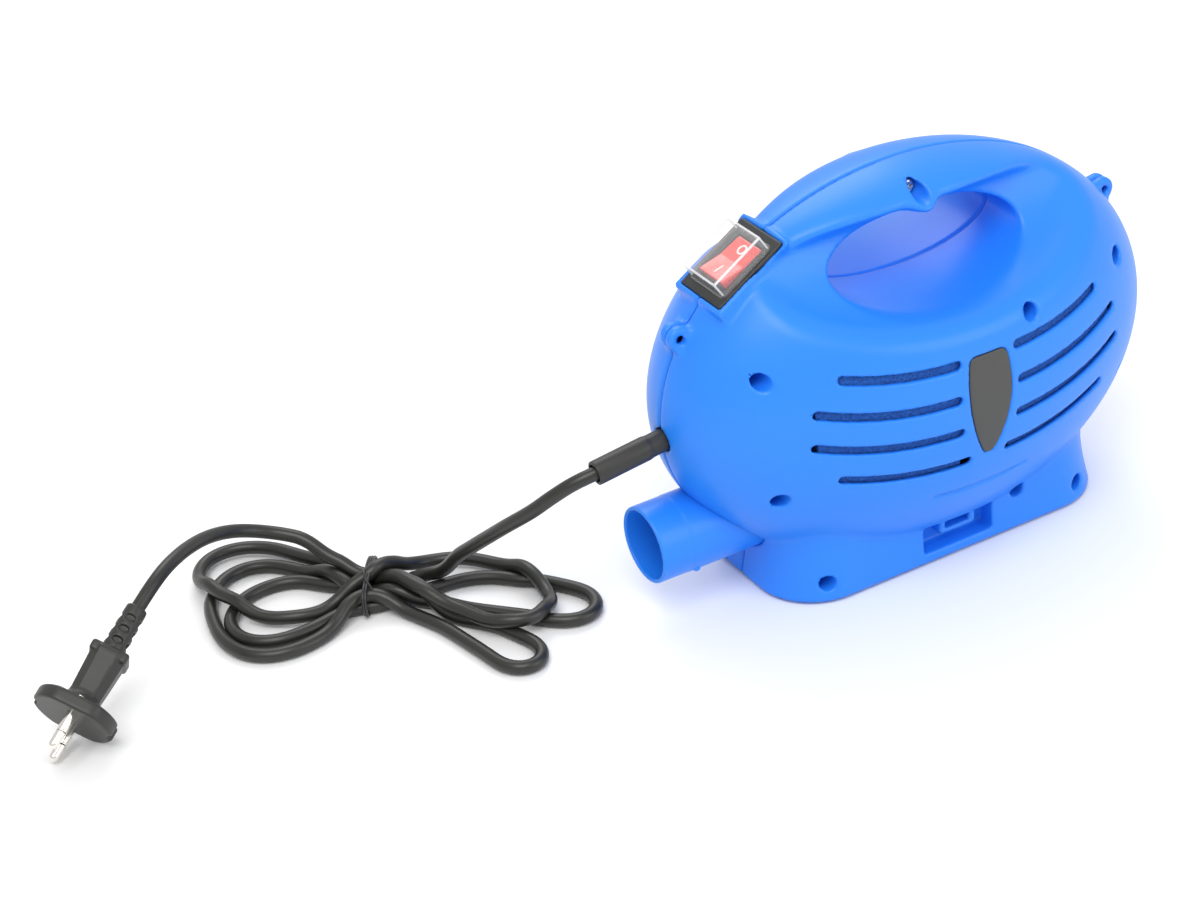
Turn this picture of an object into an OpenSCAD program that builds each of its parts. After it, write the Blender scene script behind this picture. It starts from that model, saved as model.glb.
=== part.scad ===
// Turbine air blower: the mains-powered base unit that feeds a paint-spray gun through a hose.
// X runs along the body (outlet and cord leave at -X), Y across it (front is -Y), Z up.
// The origin lies on the floor under the middle of the body.

/* [Casing] */
// Length of the egg-shaped body
body_l = 270; // [250:1:300]
// Width of the body across the parting plane
body_w = 152; // [144:1:176]
// Height of the whole egg, before the foot cuts its underside
body_h = 200; // [192:1:224]
// Height of the egg's centre above the floor
body_z = 98; // [95:1:106]
// Thickness of the moulded wall
wall = 2.8; // [2:0.1:3.4]

/* [Foot] */
// Length of the foot
foot_l = 196; // [180:1:210]
// Width of the foot
foot_w = 98; // [90:1:110]
// Corner radius of the foot, seen from above
foot_r = 33; // [20:1:40]
// How far the rubber pads lift the shell
pad_h = 1.2; // [0.8:0.1:2.5]
// Length of one rubber pad
pad_l = 24; // [16:1:28]

/* [Grip] */
// Width of the grip hole at its throat
grip_w = 104; // [96:1:112]
// Height of the grip hole at its throat
grip_h = 35; // [30:1:38]
// Height of the throat's middle above the floor
grip_z = 158.5; // [156:0.5:162]

/* [Vents] */
// Height of one air slot
slot_h = 4.6; // [3:0.1:6]
// Bow radius of the air slots
slot_bow = 260; // [200:5:400]

/* [Fasteners] */
// Screw shank diameter
screw_d = 3.9; // [3:0.1:4.5]
// Screw head diameter
screw_head_d = 7; // [5.5:0.1:7.6]
// Diameter of the screw wells in the front shell
well_d = 8; // [7.8:0.1:9]
// Outer diameter of the screw bosses
boss_d = 12; // [11.5:0.1:14]

/* [Outlet] */
// Outer diameter of the outlet pipe
pipe_d = 39.4; // [34:0.1:42]
// Wall of the outlet pipe
pipe_wall = 2.2; // [1.6:0.1:3]
// Distance from the body's middle to the pipe's mouth
pipe_reach = 149.5; // [145:0.5:165]
// Height of the pipe's axis above the floor
pipe_z = 39; // [36:0.5:42]

/* [Switch] */
// Length of the switch's bezel, along the slope
bezel_l = 41.6; // [38:0.1:44]
// Width of the switch's bezel
bezel_w = 34; // [32:0.1:38]
// Slope of the switch
switch_tilt = 32.5; // [28:0.5:36]
// Full travel of the rocker
rocker_travel = 20; // [14:1:24]

/* [Cord] */
// Diameter of the mains cord
cord_d = 7; // [6:0.1:7.4]
// Outer diameter of the cord sleeve
sleeve_d = 12; // [11:0.1:14]
// Length of the sleeve outside and inside the body
sleeve_l = 58; // [50:1:62]

/* [Plug] */
// Diameter of the plug's disc
disc_d = 41; // [36:0.5:42]
// Pin diameter
pin_d = 4.8; // [4:0.1:5]
// Pin length
pin_l = 19; // [17:0.5:20]
// Distance between the pins' axes
pin_pitch = 19; // [18:0.1:20]

/* [Motor and turbine] */
// Height of the rotor's axis above the floor
motor_z = 78; // [77.5:0.25:80]
// Shaft diameter
shaft_d = 8; // [6:0.5:9]
// Armature core diameter
armature_d = 35; // [30:0.5:37]
// Length of the armature and stator cores
core_l = 34; // [28:1:38]
// Outer diameter of the turbine can
can_d = 96; // [84:1:97]
// Length of the turbine can
can_l = 46; // [44:1:50]

/* [Hidden] */

blue = [0.16, 0.50, 0.93];
black = [0.13, 0.13, 0.13];
steel = [0.72, 0.73, 0.75];
copper = [0.75, 0.42, 0.22];

big = 400;            // longer than anything here, for cutting blocks
fit = 0.3;            // gap between parts that sit in one another
running = 0.05;       // radial clearance of a turning shaft
egg_a = body_l / 2;
egg_b = body_w / 2;
egg_c = body_h / 2;

// Half-length of the body in its parting plane at height z
function egg_x(z, g = 0) = (egg_a + g) * sqrt(max(0.02, 1 - pow((z - body_z) / (egg_c + g), 2)));
// Height of the body's top in its parting plane at x
function egg_top(x, g = 0) = body_z + (egg_c + g) * sqrt(max(0.02, 1 - pow(x / (egg_a + g), 2)));

// ---- Shared shapes -------------------------------------------------------

// The egg. Its surface has two poles and a seam, which are turned clear of the cuts:
// the poles lie at the sides for the shells, and at top and bottom for the badge in the middle of a side.
module egg(g = 0, poles = "sides")
    translate([0, 0, body_z]) scale([egg_a + g, egg_b + g, egg_c + g])
        rotate(poles == "sides" ? [0, 200, 0] : [0, 0, 30])
            rotate(poles == "sides" ? [90, 0, 0] : [0, 0, 0]) sphere(r = 1, $fn = 96);

module rounded_plate(l, w, r) {
    square([l - 2 * r, w], center = true);
    square([l, w - 2 * r], center = true);
    for (x = [-1, 1], y = [-1, 1]) translate([x * (l / 2 - r), y * (w / 2 - r)]) circle(r = r, $fn = 48);
}

foot_top = body_z / 2;   // the foot's block ends inside the egg
module foot_block(g = 0, z0 = pad_h)
    translate([0, 0, z0]) linear_extrude(foot_top - z0) rounded_plate(foot_l + 2 * g, foot_w + 2 * g, foot_r + g);

// Rod along X, Y or Z between two coordinates
module rod_x(x0, x1, r, y = 0, z = 0) translate([x0, y, z]) rotate([0, 90, 0]) cylinder(h = x1 - x0, r = r, $fn = 64);
module rod_y(y0, y1, r, x = 0, z = 0) translate([x, y0, z]) rotate([-90, 0, 0]) cylinder(h = y1 - y0, r = r, $fn = 48);
module ring_x(x0, x1, r_out, r_in, z = 0) difference() {
    rod_x(x0, x1, r_out, 0, z);
    rod_x(x0 - 1, x1 + 1, r_in, 0, z);
}

// Grip opening: an oval throat that flares towards both sides above its level floor
grip_flare = 40;      // radius of the flare
grip_rim = 34;        // size of the flare's rim, where the throat is 20
module grip_form(g, rim) translate([0, 0, grip_z]) scale([(grip_w / 2 + g) / 20, 1, (grip_h / 2 + g) / 20])
    rotate([90, 0, 0]) rotate_extrude($fn = 96) difference() {
        translate([0, -90]) square([rim, 180]);
        translate([20 + grip_flare, 0]) circle(r = grip_flare, $fn = 96);
    }
module grip_opening(g = 0) {
    translate([0, 0, grip_z]) scale([(grip_w / 2 + g) / 20, 1, (grip_h / 2 + g) / 20])
        rotate([90, 0, 0]) rotate([0, 0, 70]) cylinder(h = 180, r = 20, center = true, $fn = 96);
    intersection() {
        grip_form(g, grip_rim);
        translate([-big / 2, -big / 2, grip_z - grip_h / 2 - g]) cube([big, big, 80]);
    }
}

// Closed solid through a list of equal-sized rings of points
module loft(rings) {
    n = len(rings[0]);
    m = len(rings);
    polyhedron(
        points = [for (ring = rings) each ring],
        faces = [
            [for (i = [0:n - 1]) n - 1 - i],
            [for (i = [0:n - 1]) (m - 1) * n + i],
            for (k = [0:m - 2], i = [0:n - 1])
                [k * n + i, k * n + (i + 1) % n, (k + 1) * n + (i + 1) % n, (k + 1) * n + i]
        ]);
}

// Half spaces: side -1 is the front (-Y), side +1 the rear
module half_space(side, past = 0, z0 = pad_h)
    translate([-big / 2, side < 0 ? -big / 2 : -past, z0]) cube([big, big / 2 + past, big]);

// ---- Casing --------------------------------------------------------------

// Places of the casing screws, as [x, z]
screw_spots = [[-4, 190], [28, 134], [97, 132], [-103, 131], [-99, 68], [102, 67], [-75, 11], [75, 11], [36, 23]];
well_depth = 16;      // depth of each screw head below the parting plane

// Air slots as [height of the inner end, x of the inner end, x of the outer end]
slots = [[123, 17, 71], [105.5, 18, 84], [88, 17, 86], [70, 12, 74]];

module slot_outline(z, x0, x1) {
    r = slot_bow;
    intersection() {
        difference() {
            translate([x0, z + r]) circle(r = r + slot_h / 2, $fn = 180);
            translate([x0, z + r]) circle(r = r - slot_h / 2, $fn = 180);
        }
        translate([x0, z - slot_h]) square([x1 - x0, 30]);
    }
    for (x = [x0, x1]) translate([x, z + r - sqrt(r * r - pow(x - x0, 2))]) circle(r = slot_h / 2, $fn = 32);
}

module slot_cuts(side) for (s = slots, m = [0, 1]) mirror([m, 0, 0])
    translate([0, side < 0 ? -big / 4 : 0, 0]) translate([0, big / 4, 0]) rotate([90, 0, 0])
        linear_extrude(big / 4) slot_outline(s[0], s[1], s[2]);

// Tongue-shaped badge, seen from the front: two bowed sides that meet at a small round tip
badge_w = 24;
badge_top = 124.5;
badge_wide = 108;     // height where it is widest
badge_bow = 74.6;     // radius of its sides
badge_tip = 75;       // height of the tip's centre
badge_corner = 2.5;
badge_tip_r = badge_bow - norm([badge_bow - badge_w / 2, badge_wide - badge_tip]);
badge_turn = atan2(badge_wide - badge_tip, badge_bow - badge_w / 2);
function badge_half(z) = badge_w / 2 - badge_bow + sqrt(badge_bow * badge_bow - (z - badge_wide) * (z - badge_wide));
function arc(x, z, r, a0, a1, n) = [for (i = [0:n]) let (a = a0 + (a1 - a0) * i / n) [x + r * cos(a), z + r * sin(a)]];
module badge_outline(g = 0) {
    low = badge_tip - badge_tip_r * sin(badge_turn);
    high = badge_top - badge_corner;
    side = [for (i = [1:9]) let (z = low + (high - low) * i / 10) [badge_half(z) + g, z]];
    corner_x = badge_half(high) - badge_corner;
    polygon(concat(
        arc(0, badge_tip, badge_tip_r + g, 180 + badge_turn, 360 - badge_turn, 6), side,
        arc(corner_x, high, badge_corner + g, 0, 90, 4), arc(-corner_x, high, badge_corner + g, 90, 180, 4),
        [for (i = [8:-1:0]) [-side[i][0], side[i][1]]]));
}
badge_t = 1.4;
module badge_block(side, g = 0) difference() {
    intersection() {
        egg(0, "upright");
        translate([0, side < 0 ? -egg_b / 2 : big / 4 + egg_b / 2, 0]) rotate([90, 0, 0])
            linear_extrude(big / 4) badge_outline(g);
    }
    egg(-badge_t, "upright");
}

// Strap lugs at both ends, in the parting plane
lug_z = 144;
lug_hole_d = 4;
lug_r = 6;
lug_x = egg_x(lug_z) + 3;
lug_t = 10;
module lug(end) {
    difference() {
        intersection() {
            union() {
                rod_y(-lug_t / 2, lug_t / 2, lug_r, end * lug_x, lug_z);
                rotate([90, 0, 0]) linear_extrude(lug_t, center = true)
                    polygon([[end * (lug_x + lug_r * 0.3), lug_z - lug_r * 0.95],
                        [end * (lug_x - 12), lug_z - 12], [end * (lug_x - 18), lug_z + 10],
                        [end * (lug_x - 8), lug_z + 12], [end * (lug_x + lug_r * 0.5), lug_z + lug_r * 0.86]]);
            }
            translate([end > 0 ? 0 : -big / 2, -big / 2, 0]) cube([big / 2, big, big]);
        }
        egg(-wall);
    }
}

// Switch frame: everything round the switch is drawn on a slope whose middle lies on the egg
switch_x = -0.672 * egg_a;
switch_z = egg_top(switch_x) - 0.6;
frame_w = 3;          // width of the raised rim round the bezel
bezel_t = 2;
module at_switch() translate([switch_x, 0, switch_z]) rotate([0, -switch_tilt, 0]) children();
module block(l, w, z0, z1) translate([-l / 2, -w / 2, z0]) cube([l, w, z1 - z0]);
module soft_block(l, w, r, z0, z1) translate([0, 0, z0]) linear_extrude(z1 - z0) rounded_plate(l, w, r);
switch_body_l = 30;
switch_body_w = 25;
switch_body_h = 20;
module switch_frame() at_switch() soft_block(bezel_l + 2 * frame_w, bezel_w + 2 * frame_w, 3, -14, 0.4);
module switch_hole() at_switch() {
    block(bezel_l + 2 * fit, bezel_w + 2 * fit, 0.4 - bezel_t, 20);
    block(switch_body_l + 2 * fit, switch_body_w + 2 * fit, -30, 5);
}

// The cord sleeve runs out of the body's left end, drooping a little
sleeve_tilt = 7;
sleeve_start = [-egg_x(92) + 21, 0, 95];
module at_sleeve() translate(sleeve_start) rotate([0, -90 - sleeve_tilt, 0]) children();
function sleeve_point(t) = sleeve_start + t * [-cos(sleeve_tilt), 0, -sin(sleeve_tilt)];

// Outer form of both shells together
module casing_outside() {
    egg();
    foot_block();
    switch_frame();
    lug(-1);
    lug(1);
}

foot_floor = 2.6;
module casing_inside() {
    egg(-wall);
    foot_block(-wall, pad_h + foot_floor);
}

// Recess in the foot's front face, with a belt-clip bracket in it
recess_w = 41;
recess_low = 7;
recess_high = 23;
recess_deep = 11;
module foot_recess(side, g = 0) {
    y = foot_w / 2 - recess_deep - g;
    translate([-recess_w / 2 - g, side < 0 ? -big / 4 - y : y, recess_low - g])
        cube([recess_w + 2 * g, big / 4, recess_high - recess_low + 2 * g]);
}
bracket_w = 21;
bracket_h = 9;
module foot_bracket(side) {
    y0 = foot_w / 2 - recess_deep - wall;
    y1 = foot_w / 2 - 1.5;
    difference() {
        translate([-bracket_w / 2, side < 0 ? -y1 : y0, recess_high - bracket_h])
            cube([bracket_w, y1 - y0, bracket_h + 2]);
        translate([-bracket_w / 2 + 3, side < 0 ? -y1 - 1 : y0 + wall + 1, recess_high - bracket_h + 2.4])
            cube([bracket_w - 6, y1 - y0 - wall, bracket_h - 4.8]);
    }
}

// Bosses round the casing screws; they fill the hollow from wall to wall
module screw_bosses() for (s = screw_spots) rod_y(-big / 4, big / 4, boss_d / 2, s[0], s[1]);

// One shell; side -1 is the front with the screw wells, +1 the rear with the pilot holes
module shell(side) difference() {
    intersection() {
        casing_outside();
        half_space(side);
    }
    difference() {
        intersection() {
            casing_inside();
            half_space(side, 1, pad_h + foot_floor);
        }
        grip_opening(wall);
        foot_recess(side, wall);
        screw_bosses();
    }
    grip_opening(0);
    difference() {
        foot_recess(side);
        foot_bracket(side);
    }
    for (s = screw_spots)
        if (side < 0) {
            rod_y(-big / 4, -well_depth, well_d / 2, s[0], s[1]);
            rod_y(-well_depth - 1, 1, screw_d / 2 + fit, s[0], s[1]);
        } else
            rod_y(-1, pilot_depth, pilot_d / 2, s[0], s[1]);
    slot_cuts(side);
    badge_block(side, fit);
    switch_hole();
    for (end = [-1, 1]) rod_y(-lug_t, lug_t, lug_hole_d / 2, end * lug_x, lug_z);
    rod_x(-big / 2, pipe_inner_x, pipe_d / 2, 0, pipe_z);
    at_sleeve() translate([0, 0, -20]) cylinder(h = sleeve_l + 20, r = sleeve_d / 2, $fn = 48);
}

pilot_d = screw_d - 0.5;
pilot_depth = 13;
screw_l = 26;

module housing_front() color(blue) shell(-1);
module housing_rear() color(blue) shell(1);

module housing_screws() color(steel) for (s = screw_spots) {
    head_t = 2.6;
    head_y = -well_depth;
    rod_y(head_y - head_t, head_y, screw_head_d / 2, s[0], s[1]);
    rod_y(head_y, -0.5, screw_d / 2, s[0], s[1]);
    rod_y(-0.5, screw_l - well_depth, pilot_d / 2 - 0.05, s[0], s[1]);
}

// Rubber pads under the foot: one at each corner and one in the middle
module foot_pads() color(black) {
    for (x = [-1, 1], y = [-1, 1]) translate([x * (foot_l / 2 - foot_r), y * (foot_w / 2 - 14), 0])
        linear_extrude(pad_h) rounded_plate(pad_l, 12, 5.9);
    linear_extrude(pad_h) rounded_plate(pad_l, 12, 5.9);
}

// The pipe's plain mouth takes a hose cuff up to a low shoulder; its bore narrows where the duct meets it
spigot_l = 17;
shoulder = 0.2;
duct_seat = 4;
pipe_inner_x = -egg_a / 2 - 4;
module outlet_pipe() color(blue) {
    bore = pipe_d / 2 - pipe_wall;
    difference() {
        union() {
            rod_x(-pipe_reach, pipe_inner_x, pipe_d / 2 - shoulder, 0, pipe_z);
            rod_x(-pipe_reach + spigot_l, pipe_inner_x, pipe_d / 2, 0, pipe_z);
        }
        rod_x(-pipe_reach - 1, pipe_inner_x - duct_seat, bore, 0, pipe_z);
        rod_x(pipe_inner_x - duct_seat - 1, pipe_inner_x + 1, bore - 0.5, 0, pipe_z);
    }
    nub_angle = -42;
    translate([-pipe_reach + 20, 0, pipe_z]) rotate([90 - nub_angle, 0, 0])
        translate([0, 0, pipe_d / 2 - pipe_wall / 2]) cylinder(h = pipe_wall / 2 + 1.4, r = 2, $fn = 32);
}

module badge_front() color([0.29, 0.29, 0.28]) badge_block(-1);
module badge_rear() color([0.29, 0.29, 0.28]) badge_block(1);

// ---- Switch --------------------------------------------------------------

rocker_l = 26;
rocker_w = 20;
pivot_z = -3.6;       // height of the rocker's axis in the switch's own frame
pivot_r = 1.6;
rocker_gap = 0.5;
boot_l = 31;
boot_w = 28;
boot_h = 9;
boot_t = 1;
well_floor = -12;     // floor of the space that the rocker swings in

module switch_bezel() color(black) at_switch() difference() {
    block(bezel_l, bezel_w, 0.4 - bezel_t, 0.4);
    block(rocker_l + 2 * rocker_gap, rocker_w + 2 * rocker_gap, -5, 5);
}

module switch_body() color(black) at_switch() difference() {
    block(switch_body_l, switch_body_w, 0.4 - bezel_t - switch_body_h, 0.4 - bezel_t);
    block(rocker_l + 2 * rocker_gap, rocker_w + 2 * rocker_gap, well_floor, 5);
    rotate([90, 0, 0]) translate([0, pivot_z, -switch_body_w]) cylinder(h = 2 * switch_body_w, r = pivot_r, $fn = 32);
}

// The rocker in its off place, half its travel from level: the upper end pressed in, the lower end standing up
module rocker() color([0.85, 0.16, 0.10]) at_switch() translate([0, 0, pivot_z]) {
    half = rocker_l / 2 - 0.8;
    rotate([0, rocker_travel / 2, 0]) rotate([90, 0, 0]) linear_extrude(rocker_w, center = true) polygon([
        [half, 5.6], [0, 4.2], [-half, 5.6], [-half + 0.8, -0.5], [-4, -5.3], [4, -5.3], [half - 0.8, -0.5]]);
    rotate([90, 0, 0]) cylinder(h = switch_body_w - 0.4, r = pivot_r - running, center = true, $fn = 32);
}

module switch_boot() color([0.9, 0.9, 0.92, 0.4]) at_switch() difference() {
    union() {
        block(boot_l, boot_w, 0.4, 0.4 + boot_h);
        block(boot_l + 2, boot_w + 2, 0.4, 1.2);
    }
    block(boot_l - 2 * boot_t, boot_w - 2 * boot_t, 0, 0.4 + boot_h - boot_t);
}

terminal_h = 9;
module switch_terminals() color(steel) at_switch() for (x = [-8, 8], y = [-6, 6])
    translate([x - 0.4, y - 3.15, 0.4 - bezel_t - switch_body_h - terminal_h]) cube([0.8, 6.3, terminal_h]);

// ---- Cord ----------------------------------------------------------------

mouth_deep = 5;       // depth of the sleeve's open rim
module cord_sleeve() color(black) at_sleeve() difference() {
    cylinder(h = sleeve_l, r = sleeve_d / 2, $fn = 48);
    translate([0, 0, sleeve_l - mouth_deep]) cylinder(h = mouth_deep + 1, r = sleeve_d / 2 - 1.4, $fn = 48);
    translate([0, 0, -1]) cylinder(h = sleeve_l, r = cord_d / 2, $fn = 48);
}

// Cord route outside the body: points chosen by hand, in millimetres
cord_exit = sleeve_point(sleeve_l - mouth_deep);
lead_points = [cord_exit, sleeve_point(sleeve_l), [-181.5, 3, 84.6], [-190.5, 9, 77.5], [-198, 17, 68.5], [-206, 31, 56],
    [-212, 47, 42], [-218, 63, 28], [-224, 78, 16], [-231, 92, 8]];
tail_points = [[-262, 104, 22], [-268, 117, 24], [-277, 128, 27], [-290, 136, 31], [-305, 137, 37],
    [-320, 131, 43], [-335, 120, 48], [-349, 108, 50.5], [-360, 99.5, 49]];

// Smooth curve through hand-chosen points (Catmull-Rom), as a list of points
function spline(p, per) = let (n = len(p) - 1) [
    for (i = [0:n - 1], k = [0:per - 1]) let (t = k / per,
        a = p[max(i - 1, 0)], b = p[i], c = p[i + 1], d = p[min(i + 2, n)])
        0.5 * (2 * b + (c - a) * t + (2 * a - 5 * b + 4 * c - d) * t * t + (3 * b - a - 3 * c + d) * t * t * t),
    p[n]];
function unit(v) = v / norm(v);
function tangent(p, i) = unit(p[min(i + 1, len(p) - 1)] - p[max(i - 1, 0)]);
function ring_at(c, t, r, sides) = let (
        side = unit(cross(t, abs(t[2]) > 0.9 ? [1, 0, 0] : [0, 0, 1])), up = cross(side, t))
    [for (i = [0:sides - 1]) let (s = 360 * i / sides) c + r * (cos(s) * side + sin(s) * up)];
module tube(points, r, sides = 10)
    loft([for (i = [0:len(points) - 1]) ring_at(points[i], tangent(points, i), r, sides)]);

module cord_lead() color(black) tube(concat(spline(lead_points, 2), []), cord_d / 2);
module cord_tail() color(black) tube(concat(spline(tail_points, 2), [plug_tail]), cord_d / 2);

// The tied hank: two lobes of loops either side of the tie, as one outline
hank_h = 17;
hank_mid = [-256, 92];
left_lobe = [-290, 127];
right_lobe = [-210, 34];
lobe_r = 50;
module hank_arm(from, to, w) translate(from) rotate(atan2(to[1] - from[1], to[0] - from[0]))
    translate([0, -w / 2]) square([norm(to - from), w]);
module cord_hank() color(black) linear_extrude(hank_h) {
    translate(left_lobe) circle(r = lobe_r, $fn = 64);
    translate(right_lobe) circle(r = lobe_r, $fn = 64);
    hank_arm(left_lobe, hank_mid, 44);
    hank_arm(hank_mid, right_lobe, 44);
}

tie_t = 1.6;
module cord_tie() color(black) translate([hank_mid[0], hank_mid[1], 0])
    rotate(atan2(left_lobe[1] - hank_mid[1], left_lobe[0] - hank_mid[0])) difference() {
        translate([-1.5, -24, 0]) cube([3, 48, hank_h + tie_t]);
        translate([-2, -24 + tie_t, -1]) cube([4, 48 - 2 * tie_t, hank_h + 1]);
    }

// ---- Plug ----------------------------------------------------------------

plug_face = [-420, 62, 18.6];
plug_heading = -148;  // plan angle of the pins
plug_dip = 24;        // how far the pins point below level
plug_roll = -29;
plug_l = 62;          // from the face to the cord end
module at_plug() translate(plug_face) rotate([0, 0, plug_heading]) rotate([0, plug_dip, 0])
    rotate([plug_roll, 0, 0]) children();
plug_way = [cos(plug_dip) * cos(plug_heading), cos(plug_dip) * sin(plug_heading), -sin(plug_dip)];
plug_tail = plug_face - plug_l * plug_way;
disc_t = 7;
notch_w = 5;

pin_root = 12;        // length of each pin's thinner root inside the plug
pin_tip = 1.6;
module plug_body() color(black) at_plug() difference() {
    union() {
        intersection() {
            rod_x(-disc_t, 0, disc_d / 2);
            translate([-disc_t, -disc_d / 2, -18]) cube([disc_t, disc_d, 36]);
        }
        rod_x(-36, -disc_t + 0.5, 8);
        translate([-38, -9.5, -7.5]) cube([6, 19, 15]);
        rod_x(-plug_l, -36, 5.6);
    }
    for (s = [-1, 1]) translate([-disc_t - 1, s * disc_d / 2 - notch_w / 2, -notch_w / 2])
        cube([disc_t + 2, notch_w, notch_w]);
    for (s = [-1, 1]) rod_x(-pin_root, 1, pin_d / 2 - 0.5, 0, s * pin_pitch / 2);
}
module plug_pins() color(steel) at_plug() for (s = [-1, 1]) {
    rod_x(-pin_root, 0.5, pin_d / 2 - 0.5, 0, s * pin_pitch / 2);
    rod_x(0, pin_l - pin_tip, pin_d / 2, 0, s * pin_pitch / 2);
    translate([pin_l - pin_tip, 0, s * pin_pitch / 2]) rotate([0, 90, 0])
        cylinder(h = pin_tip, r1 = pin_d / 2, r2 = pin_d / 2 - 1.2, $fn = 48);
}

// ---- Inside: cord clamp, wires, capacitor ---------------------------------

clamp_x = sleeve_start[0] + 8;
clamp_z = sleeve_start[2] + 1;
module cord_clamp() color([0.85, 0.85, 0.82]) difference() {
    translate([clamp_x - 5, -14, clamp_z]) cube([10, 28, 7]);
    rod_x(clamp_x - 8, clamp_x + 8, cord_d / 2, 0, clamp_z);
    for (y = [-10, 10]) translate([clamp_x, y, clamp_z - 1]) cylinder(h = 10, r = 1.6, $fn = 32);
}
module clamp_screws() color(steel) for (y = [-10, 10]) translate([clamp_x, y, clamp_z - 8]) {
    cylinder(h = 15, r = 1.5, $fn = 32);
    translate([0, 0, 15]) cylinder(h = 2, r = 3, $fn = 32);
}

switch_foot = [switch_x + 14, 0, switch_z - 26];
module supply_wires() color([0.35, 0.2, 0.1]) {
    tube([[clamp_x - 4, 0, clamp_z], [clamp_x + 8, 0, clamp_z], [clamp_x + 14, 3, clamp_z + 6]], cord_d / 2 - 0.4, 8);
    tube(spline([[clamp_x + 14, 5, clamp_z + 9], [clamp_x + 18, 9, clamp_z + 22], [switch_x + 8, 9, switch_z - 42]], 3), 1.2, 6);
    tube(spline([[switch_x + 18, -8, switch_z - 40], [brush_x - 14, -14, motor_z + 38], [brush_x - 6, -20, motor_z + 30]], 3), 1.2, 6);
}
module capacitor() color([0.8, 0.65, 0.15]) translate([-96, 18, 96]) cube([12, 18, 16]);

// ---- Motor ---------------------------------------------------------------

// Stations along the rotor's axis
frame_t = 3;
core_x = -36;                       // left end of the cores
core_end = core_x + core_l;
brush_x = core_x - 14;              // middle of the brushes
rear_frame_x = core_x - 32;
drive_x = core_end + 12;            // left face of the drive-end plate
can_x = drive_x + frame_t;
can_end = can_x + can_l;
bearing_d = 22;
bearing_t = 7;
stator_d = 66;
stator_bore = armature_d + 1.4;
rear_ring_x = rear_frame_x + 2;
rear_ring_d = 34;
front_ring_x = can_end - 11;
front_ring_d = can_d + 6;
saddle_t = 4;
bolt_y = 24;
bolt_z = -13;         // height of the frame bolts below the rotor's axis

stator_h = 48;
module stator_core() color(steel) difference() {
    intersection() {
        rod_x(core_x, core_end, stator_d / 2, 0, motor_z);
        translate([core_x - 1, -stator_d * 0.43, motor_z - stator_h / 2]) cube([core_l + 2, stator_d * 0.86, stator_h]);
    }
    rod_x(core_x - 1, core_end + 1, stator_bore / 2, 0, motor_z);
    translate([core_x - 1, -11, motor_z - stator_bore / 2 - 4]) cube([core_l + 2, 22, stator_bore + 8]);
    for (y = [-1, 1]) rod_x(core_x - 1, core_end + 1, 2.3, y * bolt_y, motor_z + bolt_z);
}

module field_coils() color(copper) for (s = [-1, 1]) difference() {
    translate([core_x - 6, -10.6, motor_z + (s > 0 ? stator_bore / 2 - 1.3 : -stator_bore / 2 - 3.7)])
        cube([core_l + 12, 21.2, 5]);
    rod_x(core_x - 8, core_end + 8, stator_bore / 2, 0, motor_z);
}

module brush_frame() color([0.2, 0.2, 0.22]) difference() {
    union() {
        rod_x(rear_frame_x, rear_frame_x + bearing_t + 1, bearing_d / 2 + 3, 0, motor_z);
        translate([rear_frame_x + 5, -29, motor_z - 19]) cube([frame_t, 58, 28]);
        for (y = [-1, 1]) translate([rear_frame_x + 5, y * bolt_y - 4, motor_z - 19])
            cube([core_x - rear_frame_x - 5, 8, 26]);
    }
    rod_x(rear_frame_x + 1, rear_frame_x + 20, bearing_d / 2, 0, motor_z);
    rod_x(rear_frame_x - 1, rear_frame_x + 2, shaft_d / 2 + 1, 0, motor_z);
    for (y = [-1, 1]) rod_x(rear_frame_x, core_x + 1, 2.3, y * bolt_y, motor_z + bolt_z);
    for (y = [-1, 1]) translate([brush_x - 6, y * bolt_y - 5, motor_z - 5]) cube([12, 10, 10]);
}
module drive_frame() color(steel) difference() {
    union() {
        rod_x(drive_x, drive_x + frame_t, can_d / 2 - 6, 0, motor_z);
        rod_x(drive_x - 5, drive_x + frame_t, bearing_d / 2 + 3, 0, motor_z);
        for (y = [-1, 1]) rod_x(core_end, drive_x + 1, 4.5, y * bolt_y, motor_z + bolt_z);
    }
    rod_x(drive_x - 6, drive_x + 2, bearing_d / 2, 0, motor_z);
    rod_x(drive_x - 6, drive_x + 6, shaft_d / 2 + 1.5, 0, motor_z);
    for (y = [-1, 1]) rod_x(core_end - 1, drive_x + 6, 2.3, y * bolt_y, motor_z + bolt_z);
    rod_x(drive_x - 1, drive_x + 6, duct_d / 2 + 0.5, 0, pipe_z);
}
module frame_bolts() color(steel) for (y = [-1, 1]) {
    rod_x(rear_frame_x + 5, drive_x + frame_t - 0.5, 2, y * bolt_y, motor_z + bolt_z);
    rod_x(rear_frame_x + 2, rear_frame_x + 5, 3.6, y * bolt_y, motor_z + bolt_z);
}

brush_l = 15;
commutator_d = 24;
module brush_holders() color([0.75, 0.6, 0.25]) for (m = [0, 1]) mirror([0, m, 0])
    translate([brush_x, commutator_d / 2 + 4, motor_z]) difference() {
        translate([-5.5, 0, -5]) cube([11, 18, 10]);
        translate([-4.2, -1, -3.2]) cube([8.4, 16, 6.4]);
    }
module carbon_brushes() color([0.12, 0.12, 0.12]) for (m = [0, 1]) mirror([0, m, 0]) difference() {
    translate([brush_x - 4, 0, motor_z - 3]) cube([8, commutator_d / 2 + brush_l, 6]);
    rod_x(brush_x - 5, brush_x + 5, commutator_d / 2 + 0.3, 0, motor_z);
}

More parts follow.
